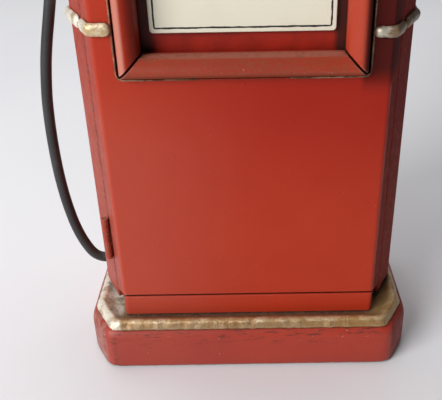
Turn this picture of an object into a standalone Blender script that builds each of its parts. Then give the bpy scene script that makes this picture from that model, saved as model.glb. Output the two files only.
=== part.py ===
"""Fuel-pump shaped cabinet with a hinged front, in metres, +Z up.

The origin is the centre of the underside, the front faces -Y and the hose is on the -X side.
Every sub-part is one object in the collection "pump_cabinet"; cutters are in "cutters".
"""
import math

import bmesh
import bpy
from mathutils import Matrix, Vector

# Fits
GAP = 0.0003                  # clearance between pieces that touch
SEAM = 0.0007                 # open joint between the door and the side walls

# Plinth
FELT_TOP = 0.0015
FELT_INSET = 0.0040           # the felt lies in a recess in the plinth's underside
PLINTH_BOTTOM = 0.0004
PLINTH_TOP = 0.0270
PLINTH_PLAN = (0.0800, 0.0627, 0.0920, 0.0419)     # front half, half depth, side half, side depth
LEDGE_PLAN = (0.0756, 0.0599, 0.0873, 0.0401)
LEDGE_BEAD = 0.0065
LEDGE_TOP = 0.0305
LEDGE_FLANGE_TOP = 0.0280

# Body
BODY_PLAN = (0.0690, 0.0500, 0.0846, 0.0190)
SEAM_SHARE = 0.38             # where the seam runs across each corner face
WALL = 0.0050
FOOT = 0.0283                 # underside of the skirt, back and bottom deck
SKIRT_SHARE = 0.05            # how far the skirt wraps round each corner face
DOOR_BOTTOM = 0.0419
FOOT_JOINT = 0.0010           # open joint between the skirt and the door above it
RETURN_BOTTOM = 0.0379        # the door's corner faces reach lower than its front
SIDE_BOTTOM = 0.0320
DOOR_TOP = 0.3175
BODY_TOP = 0.3180
DECK_TOP = 0.0400
TOP_DECK_BOTTOM = 0.3080
SHELF_BOTTOM, SHELF_TOP = 0.1500, 0.1540

# Display window
FRAME_HALF = 0.0580
FRAME_BOTTOM, FRAME_TOP = 0.1677, 0.2920
FRAME_WIDTH = 0.0105
FRAME_BACK = 0.0450           # all display depths are distances in front of the body's centre plane
FRAME_CREST = 0.0560
MITRE_GAP = 0.0004
TRAY_HALF = 0.0480
TRAY_INSET = 0.0100           # from the frame's outer edge to the tray's opening, above and below
TRAY_WALL = 0.0020
TRAY_FLOOR = 0.0400
FLANGE_HALF = 0.0640
FLANGE_BOTTOM, FLANGE_TOP = 0.1630, 0.2970
OPENING_EDGE = 0.0010         # gap between the frame and the edge of the door's opening
PLATE_HALF = 0.0433
PLATE_BOTTOM, PLATE_TOP = 0.1866, 0.2761
PLATE_THICKNESS = 0.0020
PLATE_RADIUS = 0.0030
PANEL = (0.0345, 0.2120, 0.2620)            # number panel: half width, bottom, top
PANEL_THICKNESS = 0.0012
PANEL_RADIUS = 0.0020

# Belt bead
BELT_BOTTOM, BELT_TOP = 0.1872, 0.1948
BEAD_PROUD = 0.0028
BEAD_THICKNESS = BEAD_PROUD - GAP
BEAD_END = 0.0012             # how far a bead stops short of the seam

# Top
CAP_OVERHANG = 0.0040
CAP_BOTTOM, CAP_TOP = BODY_TOP + GAP, 0.3310
CAP_SCREW_X = (-0.0450, 0.0450)
CAP_SCREW_LENGTH = 0.0180
ROOF_INSET = 0.0060
ROOF_TOP = 0.3510
ROOF_TAPER = 0.62
COLLAR_TOP = 0.3660
GLOBE_RADIUS = 0.0460
GLOBE_WALL = 0.0055
GLOBE_HALF_WIDTH = 0.0120
GLOBE_Z = 0.4080
LENS_SETBACK = 0.0015         # from the side of the ring to the rim of each lens
LENS_DOME = 0.0065
BOLT_LENGTH = 0.0260

# Screws
BODY_SCREW_SPOTS = ((-0.050, 0.0), (0.050, 0.0))
SCREW_HEAD = 0.0030
SCREW_HEAD_HEIGHT = 0.0015
SCREW_SHANK = 0.00125
SCREW_HOLE = SCREW_SHANK + GAP
SMALL_SHANK = 0.0010
SMALL_HOLE = SMALL_SHANK + GAP
BACK_SCREW_X = (-0.0450, 0.0450)
BACK_SCREW_LENGTH = 0.0140

# Hinges
HINGE_BOTTOMS = (0.0604, 0.2680)
HINGE_HEIGHT = 0.0254
HINGE_PROUD = 0.0022          # the pin's axis, in front of the corner face
KNUCKLE_RADIUS = 0.0019
PIN_RADIUS = 0.0006
PIN_HOLE_RADIUS = 0.0009
LEAF_INNER = 0.00015          # each leaf's distance from the middle of the seam
LEAF_THICKNESS = 0.0007

# Shelf cleats and magnetic catch
CLEAT = 0.0060
CLEAT_HALF_LENGTH = 0.0170
CATCH_X, CATCH_Z = 0.0510, 0.1447         # centre of the magnet
CASE_HALF_WIDTH, CASE_DEPTH = 0.0110, 0.0136
MAGNET_HALF, MAGNET_DEPTH = (0.0055, 0.0025), 0.0084
MAGNET_SETBACK = 0.0002
STRIKE_HALF, STRIKE_THICKNESS = (0.0070, 0.0035), 0.0008

# Hose and nozzle
HOSE_RADIUS = 0.0030
HOSE_Y = -0.0030
HOSE_ROUTE = (                # x and z; the whole hose lies in one plane
    (-0.0867, 0.0365), (-0.0893, 0.0366), (-0.0922, 0.0374), (-0.0948, 0.0391),
    (-0.0969, 0.0416), (-0.0987, 0.0449), (-0.1007, 0.0493), (-0.1028, 0.0553),
    (-0.1050, 0.0640), (-0.1072, 0.0775), (-0.1086, 0.0909), (-0.1093, 0.1039),
    (-0.1095, 0.1164), (-0.1091, 0.1286), (-0.1082, 0.1404), (-0.1069, 0.1517),
    (-0.1052, 0.1628), (-0.1030, 0.1735), (-0.1005, 0.1839), (-0.0981, 0.1940),
    (-0.0962, 0.2030), (-0.0950, 0.2112), (-0.0946, 0.2190),
)
BUSH_RADIUS = 0.0033
NOZZLE_X = -0.0946
FERRULE_TOP = 0.2290
SHOULDER = 0.2620             # underside of the valve body, which rests on the fork
VALVE_TOP = 0.2820
NECK_TOP = 0.2860
SPOUT_RADIUS = 0.0032
SPOUT_LINE = ((NOZZLE_X, NECK_TOP + GAP), (NOZZLE_X, 0.2930), (-0.0954, 0.3000),
              (-0.0985, 0.3075), (-0.1030, 0.3140), (-0.1080, 0.3195))
LEVER_PIVOT = (-0.1055, 0.2720)
LEVER_HALF = 0.0014           # half its width
LEVER_LINE = ((LEVER_PIVOT[0], LEVER_PIVOT[1] + 0.0018), (LEVER_PIVOT[0], 0.2640),
              (-0.1062, 0.2560), (-0.1072, 0.2480), (-0.1070, 0.2370))
LEVER_PIN_RADIUS = 0.0010
LEVER_BORE = LEVER_PIN_RADIUS + GAP
LUG_OUTSIDE = 0.0035
GUARD_RADIUS = 0.0011
GUARD_LINE = ((NOZZLE_X - 0.0095, 0.2800), (-0.1075, 0.2806), (-0.1102, 0.2780),
              (-0.1111, 0.2700), (-0.1112, 0.2550), (-0.1110, 0.2400), (-0.1095, 0.2340),
              (-0.1060, 0.2318), (NOZZLE_X - 0.0062, 0.2316))

# Fork that the nozzle hangs in
FORK_BOTTOM = 0.2430
FORK_HALF_WIDTH = 0.0090
FORK_THICKNESS = 0.0015
PRONGS = (0.0056, 0.0085)     # inner and outer side of each prong, from the nozzle's middle
PRONG_REACH = 0.0065
PRONG_HEIGHT = 0.0055
FORK_SCREW_HEIGHTS = (0.2465, 0.2530)

parts = None
cutters = None


# ---------------------------------------------------------------- scene and materials

def clear_scene():
    """Removes every object, so that the script can run twice."""
    for obj in list(bpy.data.objects):
        bpy.data.objects.remove(obj, do_unlink=True)


def new_collection(name):
    """A collection linked to the scene."""
    collection = bpy.data.collections.get(name) or bpy.data.collections.new(name)
    if name not in bpy.context.scene.collection.children:
        bpy.context.scene.collection.children.link(collection)
    return collection


def material(name, colour, roughness, metallic=0.0):
    """A Principled material, for one node."""
    made = bpy.data.materials.new(name)
    made.use_nodes = True
    shader = made.node_tree.nodes["Principled BSDF"]
    shader.inputs["Base Color"].default_value = (*colour, 1.0)
    shader.inputs["Roughness"].default_value = roughness
    shader.inputs["Metallic"].default_value = metallic
    made.diffuse_color = (*colour, 1.0)
    return made


RED = ((0.45, 0.035, 0.018), 0.45, 0.0)
GOLD = ((0.72, 0.58, 0.33), 0.40, 0.7)
CREAM = ((0.80, 0.76, 0.62), 0.50, 0.0)
RUBBER = ((0.03, 0.03, 0.03), 0.55, 0.0)
STEEL = ((0.55, 0.55, 0.56), 0.35, 1.0)
BRASS = ((0.60, 0.45, 0.20), 0.35, 1.0)
BOARD = ((0.30, 0.20, 0.12), 0.80, 0.0)
FELT = ((0.04, 0.05, 0.04), 0.95, 0.0)
BLACK = ((0.03, 0.03, 0.03), 0.60, 0.0)


def add_part(name, mesh, look):
    """Makes one node of the object from a mesh."""
    obj = bpy.data.objects.new(name, mesh)
    parts.objects.link(obj)
    obj.data.materials.clear()
    obj.data.materials.append(material(name, *look))
    return obj


def add_cutter(name, mesh):
    """Makes an object that only cuts or joins."""
    obj = bpy.data.objects.new(name, mesh)
    cutters.objects.link(obj)
    obj.hide_render = True
    obj.display_type = "WIRE"
    return obj


def to_mesh(obj):
    """Takes an object's evaluated mesh, welds it, and removes the object."""
    bpy.context.view_layer.update()
    graph = bpy.context.evaluated_depsgraph_get()
    mesh = bpy.data.meshes.new_from_object(obj.evaluated_get(graph))
    mesh.transform(obj.matrix_world)
    bpy.data.objects.remove(obj, do_unlink=True)
    bm = bmesh.new()
    bm.from_mesh(mesh)
    bmesh.ops.remove_doubles(bm, verts=bm.verts, dist=0.000001)
    bmesh.ops.recalc_face_normals(bm, faces=bm.faces)
    bm.to_mesh(mesh)
    bm.free()
    return mesh


# ---------------------------------------------------------------- outlines

def octagon(plan):
    """The eight corners of a plan, anticlockwise from the right front."""
    front, depth, side, side_depth = plan
    quarter = [Vector((front, -depth)), Vector((side, -side_depth))]
    right = quarter + [Vector((point.x, -point.y)) for point in reversed(quarter)]
    return right + [Vector((-point.x, point.y)) for point in reversed(right)]


def offset(points, distance, closed=True):
    """Moves a line to its right by a distance, with mitred corners."""
    moved = []
    count = len(points)
    for index, point in enumerate(points):
        before = points[index - 1] if closed or index else None
        after = points[(index + 1) % count] if closed or index < count - 1 else None
        ways = []
        if before is not None:
            ways.append((point - before).normalized())
        if after is not None:
            ways.append((after - point).normalized())
        sides = [Vector((way.y, -way.x)) for way in ways]
        mean = sum(sides, Vector((0.0, 0.0))).normalized()
        moved.append(point + mean * (distance / mean.dot(sides[0])))
    return moved


def rounded_rectangle(half, bottom, top, radius, steps=3):
    """A rectangle with round corners, anticlockwise."""
    centres = ((half - radius, top - radius, 0), (-half + radius, top - radius, 90),
               (-half + radius, bottom + radius, 180), (half - radius, bottom + radius, 270))
    points = []
    for x, y, start in centres:
        for step in range(steps + 1):
            angle = math.radians(start + 90 * step / steps)
            points.append(Vector((x + radius * math.cos(angle), y + radius * math.sin(angle))))
    return points


def corner(side, end):
    """A body corner: front point, seam point and flank point. side and end are +1 or -1."""
    front = Vector((side * BODY_PLAN[0], end * BODY_PLAN[1]))
    flank = Vector((side * BODY_PLAN[2], end * BODY_PLAN[3]))
    return front, front.lerp(flank, SEAM_SHARE), flank


def toward(start, end, distance):
    """A point at a distance from start in the direction of end."""
    return start + (end - start).normalized() * distance


# ---------------------------------------------------------------- solids

def prism_mesh(outline, low, high, holes=()):
    """An upright prism from a flat outline, as a welded mesh."""
    curve = bpy.data.curves.new("outline", "CURVE")
    curve.dimensions = "2D"
    curve.fill_mode = "BOTH"
    curve.extrude = (high - low) / 2
    for line in (outline, *holes):
        spline = curve.splines.new("POLY")
        spline.points.add(len(line) - 1)
        spline.use_cyclic_u = True
        for spot, point in zip(spline.points, line):
            spot.co = (point.x, point.y, 0.0, 1.0)
    obj = bpy.data.objects.new("outline", curve)
    obj.location.z = (low + high) / 2
    cutters.objects.link(obj)
    return to_mesh(obj)


def facing_prism_mesh(outline, front, back, holes=()):
    """A prism that faces -Y: the outline is x and z, front and back are y."""
    mesh = prism_mesh(outline, -back, -front, holes)
    mesh.transform(Matrix.Rotation(math.radians(90), 4, "X"))
    return mesh


def box_mesh(low, high):
    """A box between two corners."""
    bm = bmesh.new()
    bmesh.ops.create_cube(bm, size=1.0)
    low, high = Vector(low), Vector(high)
    size = Matrix.Diagonal((*(high - low), 1.0))
    bmesh.ops.transform(bm, matrix=Matrix.Translation((low + high) / 2) @ size, verts=bm.verts)
    return bm_mesh(bm)


def bm_mesh(bm):
    """Writes a bmesh to a new mesh and frees it."""
    mesh = bpy.data.meshes.new("mesh")
    bm.to_mesh(mesh)
    bm.free()
    return mesh


def placed(point, way):
    """A matrix that puts +Z along a direction at a point."""
    turn = Vector((0.0, 0.0, 1.0)).rotation_difference(Vector(way)).to_matrix().to_4x4()
    return Matrix.Translation(point) @ turn


def rod_mesh(start, way, radius, length, sides=12):
    """A cylinder from a point along a direction."""
    bm = bmesh.new()
    bmesh.ops.create_cone(bm, cap_ends=True, segments=sides, radius1=radius, radius2=radius,
                          depth=length, matrix=Matrix.Translation((0, 0, length / 2)))
    bmesh.ops.transform(bm, matrix=placed(start, way), verts=bm.verts)
    return bm_mesh(bm)


def turned_mesh(profile, steps, matrix=Matrix.Identity(4)):
    """A turned solid: the profile is radius and height, from its top to its bottom."""
    mesh = bpy.data.meshes.new("profile")
    points = [(radius, 0.0, height) for radius, height in profile]
    mesh.from_pydata(points, [(i, i + 1) for i in range(len(points) - 1)], [])
    obj = bpy.data.objects.new("profile", mesh)
    cutters.objects.link(obj)
    screw = obj.modifiers.new("turn", "SCREW")
    screw.steps = steps
    screw.render_steps = steps
    screw.use_merge_vertices = True
    screw.merge_threshold = 0.00001
    made = to_mesh(obj)
    made.transform(matrix)
    return made


def tube_mesh(points, radius, resolution=2):
    """A round bar along a line of points."""
    curve = bpy.data.curves.new("line", "CURVE")
    curve.dimensions = "3D"
    curve.bevel_depth = radius
    curve.bevel_resolution = resolution
    curve.use_fill_caps = True
    spline = curve.splines.new("POLY")
    spline.points.add(len(points) - 1)
    for spot, point in zip(spline.points, points):
        spot.co = (*point, 1.0)
    obj = bpy.data.objects.new("line", curve)
    cutters.objects.link(obj)
    return to_mesh(obj)


def wall_mesh(line, bottom, top, thickness=WALL):
    """An upright sheet that follows a line in plan, thickened towards the line's left."""
    bm = bmesh.new()
    low = [bm.verts.new((point.x, point.y, bottom)) for point in line]
    high = [bm.verts.new((point.x, point.y, top)) for point in line]
    for i in range(len(line) - 1):
        bm.faces.new((low[i], low[i + 1], high[i + 1], high[i]))
    obj = bpy.data.objects.new("sheet", bm_mesh(bm))
    cutters.objects.link(obj)
    shell = obj.modifiers.new("thickness", "SOLIDIFY")
    shell.thickness = thickness
    shell.offset = -1.0
    shell.use_even_offset = True
    return to_mesh(obj)


def past_front(vert):
    """How far a point lies past the front corner, along the front corner faces."""
    front, _, flank = corner(1, -1)
    way = (flank - front).normalized()
    return (Vector((abs(vert.co.x), vert.co.y)) - front).dot(way)


def soften(obj, width, segments=2, angle=25):
    """Rounds an object's edges."""
    bevel = obj.modifiers.new("rounding", "BEVEL")
    bevel.width = width
    bevel.segments = segments
    bevel.limit_method = "ANGLE"
    bevel.angle_limit = math.radians(angle)


def cut(obj, mesh):
    """Takes a mesh's shape out of an object."""
    cutter = add_cutter(obj.name + "_cut", mesh)
    boolean = obj.modifiers.new("cut", "BOOLEAN")
    boolean.operation = "DIFFERENCE"
    boolean.object = cutter


def weld(obj, mesh):
    """Adds a mesh's shape to an object, as one body."""
    cutter = add_cutter(obj.name + "_add", mesh)
    boolean = obj.modifiers.new("add", "BOOLEAN")
    boolean.operation = "UNION"
    boolean.object = cutter


def add_copies(name, mesh, matrices, look):
    """Copies of one small solid, each a node of its own with a number after its name."""
    for number, matrix in enumerate(matrices, 1):
        obj = bpy.data.objects.new(name + "_" + str(number), mesh)
        parts.objects.link(obj)
        obj.matrix_world = matrix
    mesh.materials.clear()
    mesh.materials.append(material(name, *look))


def screw_mesh(head_radius, head_height, radius, length):
    """A screw whose head stands below z = 0 and whose shank runs up +Z."""
    profile = ((0.0, length), (radius * 0.4, length), (radius, length - radius * 1.5),
               (radius, 0.0), (head_radius, 0.0), (head_radius * 0.8, -head_height),
               (0.0, -head_height))
    return turned_mesh(profile, 10)


def smooth(points, spacing):
    """Points at an even spacing along a smooth curve through the given points."""
    ends = [2 * points[0] - points[1], *points, 2 * points[-1] - points[-2]]
    fine = []
    steps = 12
    for a, b, c, d in zip(ends, ends[1:], ends[2:], ends[3:]):
        for step in range(steps):
            t = step / steps
            fine.append(0.5 * (2 * b + (c - a) * t + (2 * a - 5 * b + 4 * c - d) * t ** 2
                               + (3 * b - a - 3 * c + d) * t ** 3))
    fine.append(points[-1])
    lengths = [0.0]
    for a, b in zip(fine, fine[1:]):
        lengths.append(lengths[-1] + (b - a).length)
    count = max(2, round(lengths[-1] / spacing))
    even = []
    index = 0
    for number in range(count + 1):
        goal = lengths[-1] * number / count
        while index < len(fine) - 2 and lengths[index + 1] < goal:
            index += 1
        share = (goal - lengths[index]) / (lengths[index + 1] - lengths[index])
        even.append(fine[index].lerp(fine[index + 1], min(1.0, share)))
    return even


# ---------------------------------------------------------------- plinth

def make_plinth():
    """Felt, plinth, gold ledge and the screws that hold the body on. Returns the screws' top."""
    outline = octagon(PLINTH_PLAN)
    add_part("felt_base", prism_mesh(offset(outline, -FELT_INSET), 0.0, FELT_TOP), FELT)
    plinth = add_part("plinth", prism_mesh(outline, PLINTH_BOTTOM, PLINTH_TOP), RED)
    soften(plinth, 0.0012)
    cut(plinth, prism_mesh(offset(outline, GAP - FELT_INSET), -0.002, FELT_TOP + GAP))
    ledge_line = octagon(LEDGE_PLAN)
    ledge = add_part("ledge_moulding", prism_mesh(ledge_line, PLINTH_TOP + GAP, LEDGE_TOP), GOLD)
    soften(ledge, 0.0014)
    dish = offset(ledge_line, -LEDGE_BEAD)
    cut(ledge, prism_mesh(dish, LEDGE_FLANGE_TOP, LEDGE_TOP + 0.002))
    cut(ledge, prism_mesh(offset(ledge_line, -0.0250), PLINTH_TOP - 0.002, LEDGE_TOP + 0.002))
    head_bottom = FELT_TOP + 2 * GAP
    tip = DECK_TOP - 0.0020
    seat = head_bottom + SCREW_HEAD_HEIGHT
    for x, y in BODY_SCREW_SPOTS:
        cut(plinth, rod_mesh((x, y, 0.0), (0, 0, 1), SCREW_HEAD + GAP, seat + GAP))
        cut(plinth, rod_mesh((x, y, 0.0), (0, 0, 1), SCREW_HOLE, PLINTH_TOP + 0.002))
    shape = screw_mesh(SCREW_HEAD, SCREW_HEAD_HEIGHT, SCREW_SHANK, tip - seat)
    spots = [Matrix.Translation((x, y, seat)) for x, y in BODY_SCREW_SPOTS]
    add_copies("body_screw", shape, spots, STEEL)
    return tip


# ---------------------------------------------------------------- body walls and decks

def make_decks(screw_tip):
    """Bottom deck, shelf and top deck, inside the walls."""
    inside = offset(octagon(BODY_PLAN), -(WALL + GAP))
    deck = add_part("bottom_deck", prism_mesh(inside, FOOT, DECK_TOP), BOARD)
    for x, y in BODY_SCREW_SPOTS:
        cut(deck, rod_mesh((x, y, FOOT - 0.001), (0, 0, 1), SCREW_HOLE, screw_tip - FOOT + 0.0013))
    shelf = add_part("shelf", prism_mesh(offset(inside, -GAP), SHELF_BOTTOM, SHELF_TOP), BOARD)
    top = add_part("top_deck", prism_mesh(inside, TOP_DECK_BOTTOM, BODY_TOP - GAP), BOARD)
    return deck, shelf, top


def make_side(name, side):
    """One side wall: from the front seam round the side to the rear seam."""
    front, front_seam, front_flank = corner(side, -1)
    rear, rear_seam, rear_flank = corner(side, 1)
    line = [toward(front_seam, front_flank, SEAM / 2), front_flank, rear_flank,
            toward(rear_seam, rear_flank, SEAM / 2)]
    if side < 0:
        line.reverse()
    return add_part(name, wall_mesh(line, SIDE_BOTTOM, BODY_TOP), RED)


def make_skirt():
    """The fixed strip below the door, with short returns whose tops slope."""
    left, _, left_flank = corner(-1, -1)
    right, _, right_flank = corner(1, -1)
    line = [left.lerp(left_flank, SKIRT_SHARE), left, right, right.lerp(right_flank, SKIRT_SHARE)]
    slope = (DOOR_BOTTOM - RETURN_BOTTOM) * SKIRT_SHARE / SEAM_SHARE
    crest = DOOR_BOTTOM - FOOT_JOINT
    mesh = wall_mesh(line, FOOT, crest)
    for vert in mesh.vertices:
        if vert.co.z > FOOT + GAP and past_front(vert) > 0.8 * WALL:
            vert.co.z = crest - slope
    add_part("skirt", mesh, RED)


def make_back():
    """The back wall, wrapped round both rear corners."""
    left, left_seam, _ = corner(-1, 1)
    right, right_seam, _ = corner(1, 1)
    line = [toward(right_seam, right, SEAM / 2), right, left, toward(left_seam, left, SEAM / 2)]
    return add_part("back_panel", wall_mesh(line, LEDGE_FLANGE_TOP + 2 * GAP, BODY_TOP), RED)


def make_back_screws(back, decks):
    """Screws through the back wall into the edges of the bottom and top decks."""
    heights = ((DECK_TOP + FOOT) / 2 + 0.002, (TOP_DECK_BOTTOM + BODY_TOP) / 2)
    face = BODY_PLAN[1]
    length = BACK_SCREW_LENGTH
    inward = (0, -1, 0)
    matrices = []
    for deck, z in zip((decks[0], decks[2]), heights):
        for x in BACK_SCREW_X:
            matrices.append(placed((x, face + GAP, z), inward))
            cut(back, rod_mesh((x, face + 0.002, z), inward, SMALL_HOLE, WALL + 0.004, 10))
            cut(deck, rod_mesh((x, face - WALL, z), inward, SMALL_HOLE, length - WALL + 0.001, 10))
    add_copies("back_screw", screw_mesh(0.0022, 0.0010, SMALL_SHANK, length), matrices, STEEL)


def make_shelf_cleats():
    """A bar under each end of the shelf, glued to the side wall."""
    inner = BODY_PLAN[2] - WALL - GAP
    top = SHELF_BOTTOM - GAP
    for side, word in ((-1, "left"), (1, "right")):
        low_x, high_x = sorted((side * inner, side * (inner - CLEAT)))
        bar = box_mesh((low_x, -CLEAT_HALF_LENGTH, top - CLEAT), (high_x, CLEAT_HALF_LENGTH, top))
        add_part("shelf_cleat_" + word, bar, BOARD)


# ---------------------------------------------------------------- door and display

def make_door():
    """The door: the front with part of each corner face, and the display opening."""
    left, left_seam, _ = corner(-1, -1)
    right, right_seam, _ = corner(1, -1)
    line = [toward(left_seam, left, SEAM / 2), left, right, toward(right_seam, right, SEAM / 2)]
    mesh = wall_mesh(line, RETURN_BOTTOM, DOOR_TOP)
    for vert in mesh.vertices:
        if vert.co.z < RETURN_BOTTOM + GAP and past_front(vert) < 0.8 * WALL:
            vert.co.z = DOOR_BOTTOM
    door = add_part("door_panel", mesh, RED)
    half = FRAME_HALF + OPENING_EDGE
    cut(door, box_mesh((-half, -0.060, FRAME_BOTTOM - OPENING_EDGE),
                       (half, -0.030, FRAME_TOP + OPENING_EDGE)))
    return door


FRAME_PROFILE = (             # distance in from the outer edge, distance in front of the centre
    (0.0, FRAME_BACK), (0.0, 0.0508), (0.0011, 0.0542), (0.0034, FRAME_CREST), (0.0068, 0.0546),
    (0.0096, 0.0520), (0.0101, 0.0500), (FRAME_WIDTH, 0.0484), (FRAME_WIDTH, FRAME_BACK),
)


def make_frame_member(name, half_length, matrix):
    """A mitred moulding along local X, with its outer edge on the local X axis."""
    bm = bmesh.new()
    face = bm.faces.new([bm.verts.new((0.0, -depth, inward)) for inward, depth in FRAME_PROFILE])
    grown = bmesh.ops.extrude_face_region(bm, geom=[face])["geom"]
    far = [item for item in grown if isinstance(item, bmesh.types.BMVert)]
    for vert in bm.verts:
        vert.co.x = -(half_length - vert.co.z)
    for vert in far:
        vert.co.x = half_length - vert.co.z
    bmesh.ops.recalc_face_normals(bm, faces=bm.faces)
    bmesh.ops.transform(bm, matrix=matrix, verts=bm.verts)
    add_part(name, bm_mesh(bm), RED)


def make_frame():
    """The four mitred mouldings round the display."""
    middle = (FRAME_BOTTOM + FRAME_TOP) / 2
    half_height = (FRAME_TOP - FRAME_BOTTOM) / 2
    members = (("frame_bottom", 0, half_height, FRAME_HALF), ("frame_right", 90, FRAME_HALF, half_height),
               ("frame_top", 180, half_height, FRAME_HALF), ("frame_left", 270, FRAME_HALF, half_height))
    for name, turn, reach, half_length in members:
        spin = Matrix.Rotation(math.radians(-turn), 4, "Y")
        place = Matrix.Translation((0, 0, middle)) @ spin @ Matrix.Translation((0, 0, -reach))
        make_frame_member(name, half_length - MITRE_GAP, place)


def make_window_box():
    """The tray behind the display opening, with a flange that holds the mouldings."""
    front = -(FRAME_BACK - GAP)
    low, high = FRAME_BOTTOM + TRAY_INSET, FRAME_TOP - TRAY_INSET
    tray = add_part("window_box", box_mesh((-FLANGE_HALF, front, FLANGE_BOTTOM),
                                           (FLANGE_HALF, front + TRAY_WALL, FLANGE_TOP)), RED)
    outer = TRAY_HALF + TRAY_WALL
    weld(tray, box_mesh((-outer, front + 0.0005, low - TRAY_WALL),
                        (outer, -TRAY_FLOOR + TRAY_WALL, high + TRAY_WALL)))
    cut(tray, box_mesh((-TRAY_HALF, front - 0.002, low), (TRAY_HALF, -TRAY_FLOOR, high)))


def make_display():
    """The cream plate and the number panel on it."""
    back = -TRAY_FLOOR - GAP
    front = back - PLATE_THICKNESS
    outline = rounded_rectangle(PLATE_HALF, PLATE_BOTTOM, PLATE_TOP, PLATE_RADIUS)
    add_part("display_plate", facing_prism_mesh(outline, front, back), CREAM)
    edge = rounded_rectangle(*PANEL, PANEL_RADIUS, 2)
    panel = facing_prism_mesh(edge, front - GAP - PANEL_THICKNESS, front - GAP)
    add_part("counter_panel", panel, BLACK)


# ---------------------------------------------------------------- belt bead

def make_bead(name, line, low=BELT_BOTTOM, high=BELT_TOP):
    """A gold bead that stands proud of the wall whose outer face follows the line."""
    outer = offset(line, BEAD_PROUD, closed=False)
    bead = add_part(name, wall_mesh(outer, low, high, BEAD_THICKNESS), GOLD)
    soften(bead, 0.0012, 1, 75)


def make_belt():
    """The belt: two pieces on the door, and one round the sides and the back."""
    frame_edge = FRAME_HALF + OPENING_EDGE
    round_body = []
    for side, word in ((-1, "left"), (1, "right")):
        front, seam, flank = corner(side, -1)
        rear, _, rear_flank = corner(side, 1)
        on_door = [toward(seam, front, BEAD_END), front, Vector((side * frame_edge, front.y))]
        on_wall = [toward(seam, flank, BEAD_END), flank, rear_flank, rear]
        if side < 0:
            round_body += on_wall[::-1]
        else:
            on_door.reverse()
            round_body = on_wall + round_body
        make_bead("belt_bead_door_" + word, on_door)
    make_bead("belt_bead_body", round_body)


# ---------------------------------------------------------------- cap, roof and globe

def make_cap(top_deck):
    """The cap, held by screws that come up through the top deck."""
    cap = add_part("cap", prism_mesh(offset(octagon(BODY_PLAN), CAP_OVERHANG), CAP_BOTTOM, CAP_TOP), RED)
    soften(cap, 0.0015)
    head = TOP_DECK_BOTTOM - GAP
    for x in CAP_SCREW_X:
        cut(top_deck, rod_mesh((x, 0, head - 0.002), (0, 0, 1), SCREW_HOLE, BODY_TOP - head + 0.004))
        hole_bottom = CAP_BOTTOM - 0.001
        depth = head + CAP_SCREW_LENGTH + 0.0005 - hole_bottom
        cut(cap, rod_mesh((x, 0, hole_bottom), (0, 0, 1), SCREW_HOLE, depth))
    shape = screw_mesh(SCREW_HEAD, SCREW_HEAD_HEIGHT, SCREW_SHANK, CAP_SCREW_LENGTH)
    spots = [Matrix.Translation((x, 0, head)) for x in CAP_SCREW_X]
    add_copies("cap_screw", shape, spots, STEEL)


def make_roof():
    """The tapered roof."""
    outline = offset(octagon(BODY_PLAN), CAP_OVERHANG - ROOF_INSET)
    mesh = prism_mesh(outline, CAP_TOP + GAP, ROOF_TOP)
    for vert in mesh.vertices:
        if vert.co.z > (CAP_TOP + ROOF_TOP) / 2:
            vert.co.x *= ROOF_TAPER
            vert.co.y *= ROOF_TAPER
    roof = add_part("roof", mesh, RED)
    soften(roof, 0.0015)
    return roof


def make_collar():
    """The turned gold foot that the globe sits in."""
    foot = ROOF_TOP + GAP
    profile = ((0.0, COLLAR_TOP), (0.0150, COLLAR_TOP), (0.0165, COLLAR_TOP - 0.0015),
               (0.0150, COLLAR_TOP - 0.0040), (0.0130, COLLAR_TOP - 0.0075),
               (0.0150, foot + 0.0035), (0.0210, foot + 0.0025), (0.0215, foot), (0.0, foot))
    collar = add_part("globe_collar", turned_mesh(profile, 32), GOLD)
    cut(collar, rod_mesh((0, -0.030, GLOBE_Z), (0, 1, 0), GLOBE_RADIUS + GAP, 0.060, 64))
    return collar


def make_globe(roof, collar):
    """The globe: a ring with a domed lens in each side, and the bolt that holds it down."""
    facing = Matrix.Translation((0, 0, GLOBE_Z)) @ Matrix.Rotation(math.radians(90), 4, "X")
    width = GLOBE_HALF_WIDTH
    outer = GLOBE_RADIUS
    inner = outer - GLOBE_WALL
    hoop = ((inner, width), (outer - 0.0012, width), (outer, width - 0.0015),
            (outer, -width + 0.0015), (outer - 0.0012, -width), (inner, -width), (inner, width))
    ring = add_part("globe_ring", turned_mesh(hoop, 48, facing), RED)
    rim = inner - GAP
    base = width - LENS_SETBACK
    steps = 5
    for name, direction in (("globe_lens_front", 0), ("globe_lens_back", 180)):
        profile = [(rim * i / steps, base + LENS_DOME * (1 - (i / steps) ** 2)) for i in range(steps + 1)]
        profile += [(rim, base - LENS_SETBACK), (0.0, base - LENS_SETBACK)]
        turn = Matrix.Rotation(math.radians(direction), 4, "Z")
        add_part(name, turned_mesh(profile, 48, turn @ facing), CREAM)

    head = GLOBE_Z - inner + GAP
    bolt = screw_mesh(SCREW_HEAD, 0.0018, SCREW_SHANK, BOLT_LENGTH)
    bolt.transform(Matrix.Translation((0, 0, head)) @ Matrix.Rotation(math.pi, 4, "X"))
    add_part("globe_bolt", bolt, STEEL)
    bottom = head - BOLT_LENGTH - 0.0005
    for holder in (roof, collar, ring):
        cut(holder, rod_mesh((0, 0, bottom), (0, 0, 1), SCREW_HOLE, BOLT_LENGTH + 0.004))


# ---------------------------------------------------------------- hinges and catch

def seam_frame():
    """A matrix at the left front seam: X towards the side wall, Y outwards, Z up."""
    front, seam, flank = corner(-1, -1)
    along = (flank - front).normalized()
    outward = Vector((-along.y, along.x))
    rows = ((along.x, outward.x, 0, seam.x), (along.y, outward.y, 0, seam.y),
            (0, 0, 1, 0), (0, 0, 0, 1))
    return Matrix(rows)


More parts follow.
